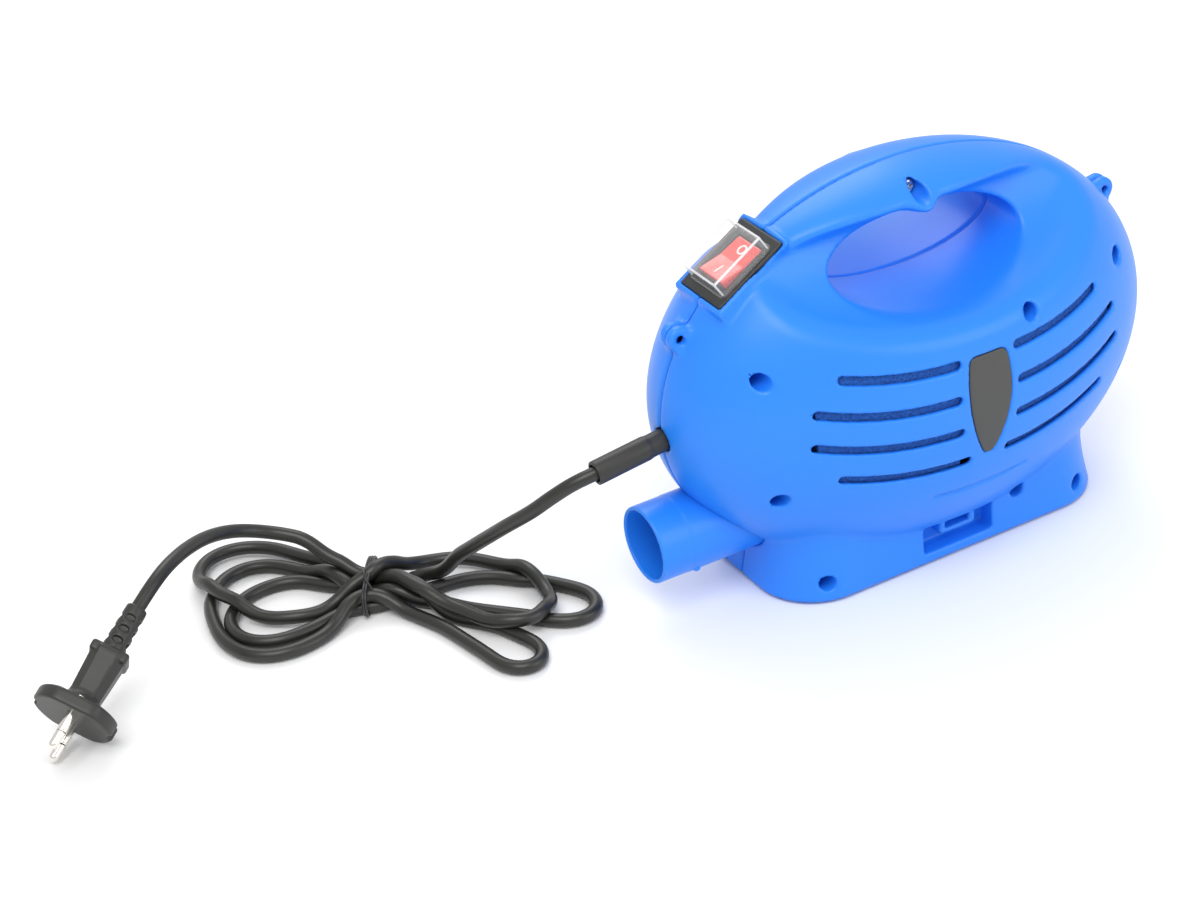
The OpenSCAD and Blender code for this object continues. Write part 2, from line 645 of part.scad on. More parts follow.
module bearing(x) difference() {
    rod_x(x, x + bearing_t, bearing_d / 2, 0, motor_z);
    rod_x(x - 1, x + bearing_t + 1, shaft_d / 2 + running, 0, motor_z);
}
module rear_bearing() color(steel) bearing(rear_frame_x + 1);
module front_bearing() color(steel) bearing(drive_x - 5);

// ---- Turbine -------------------------------------------------------------

can_t = 1.2;
eye_r = 17;           // inlet eye of the can
port_r = 9;           // outlet port of the can
port_z = pipe_z + 2.5;
module fan_can() color(steel) difference() {
    rod_x(can_x, can_end, can_d / 2, 0, motor_z);
    rod_x(can_x + can_t, can_end - can_t, can_d / 2 - can_t, 0, motor_z);
    rod_x(can_end - 3, can_end + 1, eye_r, 0, motor_z);
    rod_x(can_x - 1, can_x + 3, shaft_d / 2 + 3, 0, motor_z);
    rod_x(can_x - 1, can_x + 3, port_r, 0, port_z);
}

module diffuser() color([0.6, 0.62, 0.64]) {
    x = can_x + can_l / 2 - 2;
    ring_x(x, x + 1.2, can_d / 2 - can_t - 0.1, 15, motor_z);
    for (i = [0:8]) translate([x - 4.4, 0, motor_z]) rotate([i * 40, 0, 0])
        translate([0, 20, 0]) rotate([-35, 0, 0]) cube([4.5, 20, 1.2]);
}

impeller_d = can_d - 10;
module impeller(x) {
    ring_x(x, x + 1.2, impeller_d / 2, shaft_d / 2, motor_z);
    ring_x(x + 1.2, x + 9, 8, shaft_d / 2, motor_z);
    ring_x(x + 9, x + 10.2, impeller_d / 2, 18, motor_z);
    for (i = [0:7]) translate([x + 1.2, 0, motor_z]) rotate([i * 45, 0, 0])
        translate([0, 18, 0]) rotate([-30, 0, 0]) cube([7.8, 24, 1.2]);
}
module impeller_inner() color([0.78, 0.79, 0.8]) impeller(can_x + 5.5);
module impeller_outer() color([0.78, 0.79, 0.8]) impeller(can_x + can_l / 2 + 6);

duct_d = pipe_d - 2 * pipe_wall - 7;   // slides well clear of the pipe's narrower inner end
module air_duct() color([0.25, 0.25, 0.27]) {
    x0 = pipe_inner_x - duct_seat;
    difference() {
        union() {
            rod_x(x0, can_x, duct_d / 2, 0, pipe_z);
            rod_x(x0, x0 + duct_seat, pipe_d / 2 - pipe_wall - 0.5, 0, pipe_z);
        }
        rod_x(x0 - 1, can_x - 2, duct_d / 2 - 2, 0, pipe_z);
        rod_x(can_x - 3, can_x + 1, port_r, 0, port_z);
    }
}

// Rubber rings round the motor's left bearing and the turbine can, each lying in a saddle
module rear_mount_ring() color(black) ring_x(rear_ring_x - 2, rear_ring_x + 2.5, rear_ring_d / 2, bearing_d / 2 + 3, motor_z);
module front_mount_ring() color(black) ring_x(front_ring_x - 5, front_ring_x + 5, front_ring_d / 2, can_d / 2, motor_z);
module motor_saddles() color([0.16, 0.50, 0.93]) {
    floor_z = pad_h + foot_floor;
    for (m = [[rear_ring_x - saddle_t / 2, rear_ring_d, 39], [front_ring_x - saddle_t / 2, front_ring_d, 80]]) difference() {
        translate([m[0], -m[2] / 2, floor_z]) cube([saddle_t, m[2], motor_z - floor_z]);
        rod_x(m[0] - 1, m[0] + saddle_t + 1, m[1] / 2, 0, motor_z);
        if (m[0] < 0) rod_x(m[0] - 1, m[0] + saddle_t + 1, duct_d / 2 + fit, 0, pipe_z);
    }
}

filter_t = 4;
module filter(side) difference() {
    for (m = [0, 1]) mirror([m, 0, 0]) intersection() {
        difference() {
            egg(-wall - fit);
            egg(-wall - fit - filter_t);
        }
        translate([14, side < 0 ? -big / 4 : 0, 64]) cube([70, big / 4, 70]);
    }
    for (s = screw_spots) rod_y(-big / 4, big / 4, boss_d / 2 + fit, s[0], s[1]);
}
module filter_front() color([0.2, 0.2, 0.2]) filter(-1);
module filter_rear() color([0.2, 0.2, 0.2]) filter(1);

// ---- Rotor ---------------------------------------------------------------

shaft_x0 = rear_frame_x + 1.5;
nut_x = can_x + can_l / 2 + 6 + 9;
shaft_end = nut_x + 7;
module rotor_shaft() color(steel) rod_x(shaft_x0, shaft_end, shaft_d / 2, 0, motor_z);
module armature_core() color(steel) difference() {
    rod_x(core_x, core_end, armature_d / 2, 0, motor_z);
    rod_x(core_x - 1, core_end + 1, shaft_d / 2, 0, motor_z);
    for (i = [0:11]) translate([core_x - 1, 0, motor_z]) rotate([i * 30, 0, 0])
        translate([0, -1.1, armature_d / 2 - 7]) cube([core_l + 2, 2.2, 8]);
}
module armature_windings() color(copper) for (x = [core_x - 5, core_end])
    ring_x(x, x + 5, armature_d / 2 - 2, shaft_d / 2, motor_z);
module commutator() color(copper) ring_x(brush_x - 6, brush_x + 7, commutator_d / 2, shaft_d / 2, motor_z);
module fan_nut() color(steel) difference() {
    translate([nut_x, 0, motor_z]) rotate([0, 90, 0]) cylinder(h = 5, r = 7, $fn = 6);
    rod_x(nut_x - 1, nut_x + 6, shaft_d / 2, 0, motor_z);
}

housing_front();
housing_rear();
housing_screws();
foot_pads();
outlet_pipe();
badge_front();
badge_rear();
switch_bezel();
switch_body();
switch_boot();
switch_terminals();
rocker();
cord_sleeve();
cord_clamp();
clamp_screws();
cord_lead();
cord_hank();
cord_tail();
cord_tie();
plug_body();
plug_pins();
supply_wires();
capacitor();
stator_core();
field_coils();
brush_frame();
drive_frame();
frame_bolts();
brush_holders();
carbon_brushes();
rear_bearing();
front_bearing();
fan_can();
diffuser();
air_duct();
rear_mount_ring();
front_mount_ring();
motor_saddles();
filter_front();
filter_rear();
rotor_shaft();
armature_core();
armature_windings();
commutator();
impeller_inner();
impeller_outer();
fan_nut();
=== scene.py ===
"""Turbine air blower: the visual model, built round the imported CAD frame."""

import math

import bpy
import numpy as np
from bpy.props import FloatProperty, FloatVectorProperty, PointerProperty
from mathutils import Matrix, Vector


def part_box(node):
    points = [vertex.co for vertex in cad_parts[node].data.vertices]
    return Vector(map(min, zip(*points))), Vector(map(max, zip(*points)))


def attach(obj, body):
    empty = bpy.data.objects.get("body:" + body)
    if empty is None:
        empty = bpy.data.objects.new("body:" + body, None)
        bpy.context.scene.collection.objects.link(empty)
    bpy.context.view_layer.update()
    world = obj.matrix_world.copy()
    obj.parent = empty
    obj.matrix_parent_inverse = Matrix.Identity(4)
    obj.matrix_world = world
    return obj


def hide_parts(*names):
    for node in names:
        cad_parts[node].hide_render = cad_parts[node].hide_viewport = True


bl_info = {
    "name": "Turbine Air Blower",
    "version": (1, 0, 0),
    "blender": (4, 5, 0),
    "location": "View3D > Sidebar > Blower",
    "description": "Builds a portable turbine air blower with its switch, cord and plug",
    "category": "Object",
}

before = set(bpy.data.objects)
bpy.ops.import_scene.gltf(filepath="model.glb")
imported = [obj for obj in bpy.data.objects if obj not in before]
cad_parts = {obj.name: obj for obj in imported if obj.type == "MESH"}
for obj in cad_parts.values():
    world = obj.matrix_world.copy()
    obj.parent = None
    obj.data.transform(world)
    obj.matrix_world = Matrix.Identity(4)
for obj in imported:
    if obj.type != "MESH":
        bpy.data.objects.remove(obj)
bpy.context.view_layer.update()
MM = 0.001


def box_mm(node):
    """Lowest and highest corner of a CAD node, in millimetres."""
    low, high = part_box(node)
    return np.array(low) / MM, np.array(high) / MM


# ---- Sizes and colours ---------------------------------------------------


def length(name, text, default, low=0.0, high=10.0):
    return FloatProperty(name=name, description=text, default=default, min=low, max=high, unit="LENGTH")


def colour(name, text, default):
    return FloatVectorProperty(
        name=name, description=text, default=default, size=3, min=0, max=1, subtype="COLOR"
    )


class BLOWER_PG_sizes(bpy.types.PropertyGroup):
    """Sizes of the moulded details"""

    wall: length("Wall", "Thickness of the moulded casing", 0.0028)
    cell: length("Moulding detail", "Cell size of the casing's surface", 0.0013)
    fine_cell: length("Small part detail", "Cell size of the small mouldings", 0.00045)
    seam: length("Seam radius", "Rounding where the two shells meet", 0.0009)
    cord: length("Cord diameter", "Diameter of the mains cord", 0.007)


class BLOWER_PG_colours(bpy.types.PropertyGroup):
    """Colours of the finishes"""

    casing: colour("Casing", "Azure moulded plastic", (0.016, 0.215, 0.85))
    badge: colour("Badge", "Dark grey insert", (0.052, 0.053, 0.050))
    black: colour("Black plastic", "Switch bezel and body", (0.020, 0.021, 0.021))
    rocker: colour("Rocker", "Red switch rocker", (0.83, 0.035, 0.018))
    rubber: colour("Rubber", "Cord, sleeve and plug", (0.018, 0.018, 0.016))


def sizes():
    return bpy.context.scene.blower_sizes


def colours():
    return bpy.context.scene.blower_colours


# ---- Shader writing ------------------------------------------------------


class Value:
    """A shader socket that can be written into sums."""

    def __init__(self, finish, socket):
        self.finish, self.socket = finish, socket

    def _math(self, operation, *terms):
        return self.finish.node("ShaderNodeMath", {"operation": operation}, dict(enumerate(terms)))

    def __add__(self, other):
        return self._math("ADD", self, other)

    def __radd__(self, other):
        return self._math("ADD", other, self)

    def __sub__(self, other):
        return self._math("SUBTRACT", self, other)

    def __rsub__(self, other):
        return self._math("SUBTRACT", other, self)

    def __mul__(self, other):
        return self._math("MULTIPLY", self, other)

    def __rmul__(self, other):
        return self._math("MULTIPLY", other, self)

    def sine(self):
        return self._math("SINE", self)

    def size(self):
        return self._math("ABSOLUTE", self)

    def clamp(self):
        return self.finish.node("ShaderNodeClamp", inputs={0: self})


class Finish:
    """One material and its node tree."""

    def __init__(self, name):
        self.material = bpy.data.materials.new(name)
        self.material.use_nodes = True
        self.tree = self.material.node_tree
        self.shader = self.tree.nodes["Principled BSDF"]

    def node(self, kind, settings=None, inputs=None, output=0):
        """Adds a node: its settings first, then the values or links of its sockets."""
        node = self.tree.nodes.new(kind)
        for key, value in (settings or {}).items():
            setattr(node, key, value)
        for key, value in (inputs or {}).items():
            if isinstance(value, Value):
                self.tree.links.new(value.socket, node.inputs[key])
            else:
                node.inputs[key].default_value = value
        return Value(self, node.outputs[output])

    def place(self):
        return self.node("ShaderNodeTexCoord", output="Object")

    def axis(self, index):
        return self.node("ShaderNodeSeparateXYZ", inputs={0: self.place()}, output=index)

    def noise(self, scale, detail=3.0, rough=0.5, place=None):
        inputs = {"Vector": place or self.place(), "Scale": scale, "Detail": detail, "Roughness": rough}
        return self.node("ShaderNodeTexNoise", inputs=inputs)

    def mix(self, factor, a, b):
        """A colour between the plain colours a and b."""
        inputs = {0: factor, 6: (*a, 1.0), 7: (*b, 1.0)}
        return self.node("ShaderNodeMix", {"data_type": "RGBA"}, inputs, output=2)

    def set(self, **sockets):
        """Sets the shader's sockets, constants as values and anything that varies as a link."""
        for key, value in sockets.items():
            name = key.replace("_", " ").title().replace("Ior", "IOR")
            slot = self.shader.inputs[name]
            if isinstance(value, Value):
                self.tree.links.new(value.socket, slot)
            else:
                slot.default_value = (*value, 1.0) if hasattr(value, "__len__") and len(value) == 3 else value
        return self

    def bump(self, height, strength, distance):
        inputs = {"Height": height, "Strength": strength, "Distance": distance}
        return self.set(normal=self.node("ShaderNodeBump", inputs=inputs))


def shade(tint, factor):
    return tuple(max(0.0, min(1.0, c * factor)) for c in tint)


def moulded(name, tint, roughness, spread=0.05, grain=900.0, depth=0.00003, coat=0.0, mottle=0.06):
    """Moulded plastic or rubber: faint colour drift, fine grain and uneven gloss."""
    f = Finish(name)
    drift = f.noise(14.0, 4.0, 0.55)
    fine = f.noise(grain, 2.0, 0.6)
    f.set(
        base_color=f.mix(drift, shade(tint, 1 - mottle), shade(tint, 1 + mottle)),
        roughness=(roughness - spread / 2 + spread * f.noise(60.0, 3.0)).clamp(),
        coat_weight=coat,
        coat_roughness=0.12,
    )
    return f.bump(fine, 0.35, depth)


def metal(name, tint, roughness, direction=(1.0, 1.0, 1.0), grain=420.0, depth=0.00002):
    """Metal with fine drawn or turned lines; direction stretches the lines."""
    f = Finish(name)
    place = f.node("ShaderNodeVectorMath", {"operation": "MULTIPLY"}, {0: f.place(), 1: direction})
    lines = f.noise(grain, 3.0, 0.6, place)
    f.set(
        base_color=f.mix(f.noise(25.0, 4.0), shade(tint, 0.9), shade(tint, 1.06)),
        metallic=1.0,
        roughness=(roughness - 0.06 + 0.14 * lines).clamp(),
    )
    return f.bump(lines, 0.3, depth)


def casing_plastic():
    """Azure moulded plastic, satin outside with faint flow marks."""
    tint = colours().casing
    f = Finish("azure_plastic")
    flow = f.noise(9.0, 4.0, 0.6)
    orange = f.noise(260.0, 2.0, 0.5)
    scuff = f.noise(70.0, 6.0, 0.7)
    f.set(
        base_color=f.mix(flow, shade(tint, 0.94), shade(tint, 1.05)),
        roughness=(0.32 + 0.10 * scuff + 0.04 * flow).clamp(),
        coat_weight=0.08,
        coat_roughness=0.22,
        specular_ior_level=0.38,
    )
    return f.bump(orange, 0.22, 0.00005)


def clear_plastic(name="clear_plastic", cover=0.06):
    """Clear flexible cover with faint haze; made less clear, it is also the painted highlight on the cover's
    edges.
    """
    f = Finish(name)
    haze = f.noise(45.0, 5.0, 0.65)
    f.set(
        base_color=f.mix(haze, (0.86, 0.88, 0.90), (0.97, 0.98, 1.0)),
        roughness=(0.05 + 0.09 * haze).clamp(),
        alpha=(cover + 0.07 * haze).clamp(),
        coat_weight=0.6,
        coat_roughness=0.04,
    )
    return f.bump(f.noise(180.0, 3.0), 0.2, 0.00004)


def copper_wire():
    """Enamelled wire wound round the X axis of the motor, with painted shade in the grooves between turns."""
    f = Finish("copper_wire")
    turns = (f.axis(0) * (2 * math.pi / 0.0007)).sine() * 0.5 + 0.5
    f.set(
        # Dark copper where the turns dip: painted shade in the grooves between turns
        base_color=f.mix(turns, (0.24, 0.06, 0.02), (0.78, 0.30, 0.10)),
        metallic=0.7,
        roughness=(0.26 + 0.12 * f.noise(120.0)).clamp(),
    )
    return f.bump(turns, 0.8, 0.0002)


def laminated_steel():
    """Stacked steel sheets: fine lines across the X axis."""
    f = Finish("laminated_steel")
    sheets = (f.axis(0) * (2 * math.pi / 0.0005)).sine() * 0.5 + 0.5
    f.set(
        base_color=f.mix(sheets, (0.20, 0.20, 0.21), (0.42, 0.42, 0.44)),
        metallic=0.9,
        roughness=(0.38 + 0.12 * f.noise(80.0)).clamp(),
    )
    return f.bump(sheets, 0.5, 0.0001)


def commutator_copper():
    """Turned copper bars with dark gaps between them, round the rotor's axis."""
    f = Finish("commutator_copper")
    height = f.axis(2) - ROTOR_Z * MM
    angle = f.node("ShaderNodeMath", {"operation": "ARCTAN2"}, {0: height, 1: f.axis(1)})
    bars = ((angle * 12.0).sine().size() * 6.0).clamp()
    f.set(
        base_color=f.mix(bars, (0.05, 0.03, 0.02), (0.80, 0.36, 0.16)),
        metallic=0.9,
        roughness=(0.22 + 0.10 * f.noise(150.0)).clamp(),
    )
    return f.bump(bars, 0.6, 0.0002)


def open_foam():
    """Open-cell foam: dark cells of uneven size."""
    f = Finish("open_foam")
    cells = f.node("ShaderNodeTexVoronoi", inputs={"Vector": f.place(), "Scale": 650.0})
    f.set(
        base_color=f.mix(cells, (0.004, 0.05, 0.24), (0.014, 0.12, 0.48)),
        roughness=(0.85 + 0.1 * cells).clamp(),
    )
    return f.bump(cells, 1.0, 0.0006)


FINISHES = {}


def make_finishes():
    """Every finish, by name."""
    c = colours()
    FINISHES.update(
        casing=casing_plastic(),
        badge=moulded("badge_plastic", c.badge, 0.46, 0.08, 700.0, 0.00006),
        black=moulded("black_plastic", c.black, 0.36, 0.06, 800.0, 0.00004),
        rocker=moulded("red_plastic", c.rocker, 0.20, 0.05, 500.0, 0.00001, 0.5),
        white=moulded("white_mark", (0.86, 0.86, 0.84), 0.4),
        clear=clear_plastic(),
        # Painted highlight: a whiter, less clear finish for the strip along the switch cover's edges
        edge=clear_plastic("clear_edge_highlight", 0.42),
        cord=moulded("cord_rubber", c.rubber, 0.36, 0.10, 620.0, 0.00005, mottle=0.15),
        plug=moulded("plug_rubber", shade(c.rubber, 1.15), 0.42, 0.08, 1000.0, 0.00005, mottle=0.12),
        pads=moulded("pad_rubber", (0.03, 0.03, 0.03), 0.7, 0.1, 500.0, 0.0001),
        steel=metal("plated_steel", (0.62, 0.61, 0.58), 0.30),
        nickel=metal("bright_nickel", (0.86, 0.83, 0.77), 0.16, (1.0, 1.0, 1.0), 300.0, 0.000006),
        nylon=moulded("clamp_nylon", (0.62, 0.60, 0.52), 0.5),
        wires=moulded("wire_sleeving", (0.16, 0.06, 0.02), 0.35),
        film=moulded("film_block", (0.72, 0.46, 0.05), 0.25, coat=0.4),
        sheets=laminated_steel(),
        wire=copper_wire(),
        bars=commutator_copper(),
        brass=metal("brass_sheet", (0.78, 0.56, 0.25), 0.28),
        carbon=moulded("carbon_block", (0.014, 0.014, 0.015), 0.55, 0.1, 1500.0, 0.00005),
        cast=metal("cast_aluminium", (0.55, 0.56, 0.57), 0.50, grain=500.0, depth=0.00015),
        pressed=metal("pressed_aluminium", (0.76, 0.77, 0.78), 0.27, (0.05, 1.0, 1.0)),
        dark=moulded("dark_moulding", (0.025, 0.025, 0.028), 0.45),
        foam=open_foam(),
    )


def paint(obj, finish):
    obj.data.materials.clear()
    obj.data.materials.append(FINISHES[finish].material)


# ---- Moulded forms from distances ----------------------------------------
# A form is a function of x, y, z in millimetres: negative inside, near the true distance at its surface.


def blend_min(a, b, k):
    h = np.maximum(k - np.abs(a - b), 0.0) / k
    return np.minimum(a, b) - h * h * k * 0.25


def blend_max(a, b, k):
    return -blend_min(-a, -b, k)


def cut(form, tool, k=0.8):
    return blend_max(form, -tool, k)


def box_form(x, y, z, half, r=0.0):
    qx, qy, qz = (np.abs(v) - h + r for v, h in zip((x, y, z), half))
    outside = np.sqrt(np.maximum(qx, 0) ** 2 + np.maximum(qy, 0) ** 2 + np.maximum(qz, 0) ** 2)
    return outside + np.minimum(np.maximum(qx, np.maximum(qy, qz)), 0) - r


def plate_form(x, y, half_x, half_y, r):
    qx, qy = np.abs(x) - half_x + r, np.abs(y) - half_y + r
    return np.hypot(np.maximum(qx, 0), np.maximum(qy, 0)) + np.minimum(np.maximum(qx, qy), 0) - r


def polygon_form(x, y, corners):
    """Distance to a closed polygon in the plane."""
    best, sign = None, 1.0
    for i, (ax, ay) in enumerate(corners):
        bx, by = corners[i - 1]
        ex, ey, wx, wy = bx - ax, by - ay, x - ax, y - ay
        t = np.clip((wx * ex + wy * ey) / (ex * ex + ey * ey), 0, 1)
        d = (wx - ex * t) ** 2 + (wy - ey * t) ** 2
        best = d if best is None else np.minimum(best, d)
        above, below, side = y >= ay, y < by, ex * wy > ey * wx
        sign = sign * np.where((above & below & side) | (~above & ~below & ~side), -1.0, 1.0)
    return sign * np.sqrt(best)


CORNERS = np.array([[i, j, k] for i in (0, 1) for j in (0, 1) for k in (0, 1)])
EDGES = [(a, b) for a in range(8) for b in range(a + 1, 8) if np.abs(CORNERS[a] - CORNERS[b]).sum() == 1]


def surface(form, low, high, cell):
    """Points and four-sided faces of a form's surface, drawn onto it exactly."""
    low = np.asarray(low, dtype=float)
    steps = np.ceil((np.asarray(high) - low) / cell).astype(int) + 1
    lines = [(low[i] + cell * np.arange(steps[i])).astype(np.float32) for i in range(3)]
    field = np.ascontiguousarray(np.broadcast_to(form(*np.ix_(*lines)), steps), dtype=np.float32)
    inside = field < 0
    n = np.array(field.shape) - 1
    filled = sum(inside[i : i + n[0], j : j + n[1], k : k + n[2]].astype(np.int8) for i, j, k in CORNERS)
    spots = np.argwhere((filled > 0) & (filled < 8))
    number = np.full(n, -1, dtype=np.int64)
    number[tuple(spots.T)] = np.arange(len(spots))
    total, count = np.zeros((len(spots), 3)), np.zeros(len(spots))
    for a, b in EDGES:
        fa, fb = (field[tuple((spots + CORNERS[e]).T)] for e in (a, b))
        crossed = (fa < 0) != (fb < 0)
        t = np.where(crossed, fa / np.where(crossed, fa - fb, 1), 0)
        total += crossed[:, None] * (CORNERS[a] + t[:, None] * (CORNERS[b] - CORNERS[a]))
        count += crossed
    points = low + cell * (spots + total / count[:, None])
    points = draw_on(form, points, cell)
    faces = []
    for axis in range(3):
        u, v = (axis + 1) % 3, (axis + 2) % 3
        span = [slice(1, -1)] * 3
        span[axis] = slice(0, -1)
        ahead = list(span)
        ahead[axis] = slice(1, None)
        start, end = inside[tuple(span)], inside[tuple(ahead)]
        ijk = np.argwhere(start != end)
        flip = start[tuple(ijk.T)]
        ijk = ijk + np.array([0 if i == axis else 1 for i in range(3)])
        ring = []
        for du, dv in ((-1, -1), (0, -1), (0, 0), (-1, 0)):
            shift = np.zeros(3, dtype=int)
            shift[u], shift[v] = du, dv
            ring.append(number[tuple((ijk + shift).T)])
        quads = np.stack(ring, axis=1)
        quads[~flip] = quads[~flip][:, ::-1]
        faces.append(quads)
    return points, np.concatenate(faces)


def draw_on(form, points, cell, rounds=4):
    """Moves points onto the form's surface, down its slope."""
    step = 0.15 * cell
    for _ in range(rounds):
        x, y, z = points.T
        value = form(x, y, z)
        slope = np.stack(
            [
                form(x + step, y, z) - form(x - step, y, z),
                form(x, y + step, z) - form(x, y - step, z),
                form(x, y, z + step) - form(x, y, z - step),
            ],
            axis=1,
        ) / (2 * step)
        move = -(value / np.maximum((slope**2).sum(1), 0.2))[:, None] * slope
        reach = np.linalg.norm(move, axis=1, keepdims=True)
        points = points + move * np.minimum(1, 0.5 * cell / np.maximum(reach, 1e-9))
    return points


def mesh_piece(name, points, faces, finish, matrix=None):
    """A smooth mesh object from points in millimetres."""
    mesh = bpy.data.meshes.new(name)
    mesh.from_pydata((np.asarray(points) * MM).tolist(), [], np.asarray(faces).tolist())
    if matrix is not None:
        mesh.transform(matrix)
    mesh.shade_smooth()
    mesh.update()
    obj = bpy.data.objects.new(name, mesh)
    bpy.context.scene.collection.objects.link(obj)
    paint(obj, finish)
    return obj


def moulding(name, form, low, high, cell, finish, matrix=None):
    return mesh_piece(name, *surface(form, low, high, cell), finish, matrix)


def lathe(name, profile, finish, matrix, steps=96):
    """A closed profile of (distance along, radius) turned round the local X axis."""
    turn = np.linspace(0, 2 * math.pi, steps, endpoint=False)
    points = [(a, r * math.cos(t), r * math.sin(t)) for a, r in profile for t in turn]
    faces = []
    for k in range(len(profile)):
        near, far = k * steps, (k + 1) % len(profile) * steps
        for i in range(steps):
            after = (i + 1) % steps
            faces.append((near + i, near + after, far + after, far + i))
    return mesh_piece(name, points, faces, finish, matrix)


def rounded_profile(corners, steps=5):
    """A closed profile from (along, radius, rounding) corners."""
    out = []
    for i, (a, r, q) in enumerate(corners):
        here = np.array([a, r])
        before, after = (np.array(corners[k % len(corners)][:2]) for k in (i - 1, i + 1))
        if q <= 0:
            out.append(tuple(here))
            continue
        start = here + q * (before - here) / np.linalg.norm(before - here)
        end = here + q * (after - here) / np.linalg.norm(after - here)
        for t in np.linspace(0, 1, steps):
            out.append(tuple((1 - t) ** 2 * start + 2 * t * (1 - t) * here + t * t * end))
    return out


def finish_piece(obj, body, *nodes, slot=None):
    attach(obj, body)
    if nodes:
        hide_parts(*nodes)
    return obj


# ---- Dimensions shared with the CAD, in millimetres ----------------------

EGG = (135.0, 76.0, 100.0)
EGG_Z = 98.0
FOOT_HALF = (98.0, 49.0)
PAD_H = 1.2
ROTOR_Z = 78.0
PIPE_Z = 39.0
PIPE_R = 19.7
PIPE_INNER_X = -71.5
SWITCH_X = -0.672 * EGG[0]
SWITCH_Z = EGG_Z + EGG[2] * math.sqrt(1 - (SWITCH_X / EGG[0]) ** 2) - 0.6
SWITCH_TILT = math.radians(32.5)
LUG_Z = 144.0
LUG_X = EGG[0] * math.sqrt(1 - ((LUG_Z - EGG_Z) / EGG[2]) ** 2) + 3
SLEEVE_TILT = math.radians(7)
SLEEVE_START = (-EGG[0] * math.sqrt(1 - ((92 - EGG_Z) / EGG[2]) ** 2) + 21, 0.0, 95.0)
SLEEVE_L = 58.0
SCREWS = [(-4, 190), (28, 134), (97, 132), (-103, 131), (-99, 68), (102, 67), (-75, 11), (75, 11), (36, 23)]
WELL_DEPTH = 16.0
SLOTS = [(123, 17, 71), (105.5, 18, 84), (88, 17, 86), (70, 12, 74)]  # height, inner end, outer end
SLOT_H = 4.6
SLOT_BOW = 260.0
BADGE_T = 1.4
BADGE_BOW = 74.6
BADGE_HALF = 12.0
BADGE_WIDE_Z = 108.0
BADGE_TIP_Z = 75.0
BADGE_TOP_Z = 124.5

# ---- Details of the mouldings, in millimetres ----------------------------

FOOT_NARROW = (5.5, 2.0)  # the foot's top is this much narrower than the CAD's
FOOT_FLARE = (5.0, 1.8)  # and regains this much at the floor
FLARE_H = 30.0
FOOT_CORNER = 32.0
FOOT_TOP = 62.0
THROAT_Z = 159.8
THROAT_HALF = (53.5, 18.4)
DISH_Z = 166.0
DISH_HALF = (87.0, 27.0)
DISH_BACK = 14.0  # distance of the dish's back from the parting plane, before it leans
# Height and rate of the two leans: the back moves out below the first height and above the second
DISH_LEAN = ((185.0, 0.02), (174.0, 0.12))
GRIP_WALL = 5.5
LUG_R = 6.0
LUG_HALF = 5.0
LUG_HOLE_R = 2.0
BOSS_R = 6.0
WELL_R = 4.0
WELL_LAND_R = 8.0  # the dish leaves this much round the top well
RECESS_Z = 15.0
RECESS_HALF = (20.5, 22.0, 8.0)
GROOVE_Z = 51.5
GROOVE_HALF = 27.0
GROOVE_DEPTH = 1.1
SLEEVE_HOLE_R = 6.15


def switch_place():
    return Matrix.Translation(Vector((SWITCH_X, 0, SWITCH_Z)) * MM) @ Matrix.Rotation(-SWITCH_TILT, 4, "Y")


def switch_frame_axes(x, z):
    """x and z in the switch's own tilted axes."""
    dx, dz = x - SWITCH_X, z - SWITCH_Z
    c, s = math.cos(SWITCH_TILT), math.sin(SWITCH_TILT)
    return dx * c + dz * s, -dx * s + dz * c


def sleeve_place():
    down = Matrix.Rotation(-math.pi / 2 - SLEEVE_TILT, 4, "Y")
    return Matrix.Translation(Vector(SLEEVE_START) * MM) @ down @ Matrix.Rotation(-math.pi / 2, 4, "Y")


# ---- The casing ----------------------------------------------------------


def egg_form(x, y, z):
    a, b, c = EGG
    z = z - EGG_Z
    k0 = np.sqrt((x / a) ** 2 + (y / b) ** 2 + (z / c) ** 2)
    k1 = np.sqrt((x / a**2) ** 2 + (y / b**2) ** 2 + (z / c**2) ** 2)
    return k0 * (k0 - 1) / np.maximum(k1, 1e-5)


def foot_form(x, y, z):
    """The foot widens towards the floor."""
    low = np.clip(1 - z / FLARE_H, 0, 1)
    half_x = FOOT_HALF[0] - FOOT_NARROW[0] + FOOT_FLARE[0] * low**1.5
    half_y = FOOT_HALF[1] - FOOT_NARROW[1] + FOOT_FLARE[1] * low
    side = plate_form(x, y, half_x, half_y, FOOT_CORNER)
    return blend_max(side, z - FOOT_TOP, 3)


def ellipse_form(x, z, half_x, half_z):
    k0 = np.sqrt((x / half_x) ** 2 + (z / half_z) ** 2)
    k1 = np.sqrt((x / half_x**2) ** 2 + (z / half_z**2) ** 2)
    return k0 * (k0 - 1) / np.maximum(k1, 1e-5)


def grip_form(x, y, z):
    """The hand hole: an oval throat inside a dish on each side, whose back leans in towards the top."""
    (low_z, low_rate), (high_z, high_rate) = DISH_LEAN
    throat = ellipse_form(x, z - THROAT_Z, *THROAT_HALF)
    below, above = np.maximum(low_z - z, 0), np.maximum(z - high_z, 0)
    back = DISH_BACK + low_rate * below**2 + high_rate * above**2
    steep = np.sqrt(1 + (2 * low_rate * below) ** 2 + (2 * high_rate * above) ** 2)
    dish = blend_max(ellipse_form(x, z - DISH_Z, *DISH_HALF), (back - np.abs(y)) / steep, 12)
    top_well = np.hypot(x - SCREWS[0][0], z - SCREWS[0][1])
    dish = blend_max(dish, WELL_LAND_R - top_well, 6)
    return blend_min(throat, dish, 2.5)


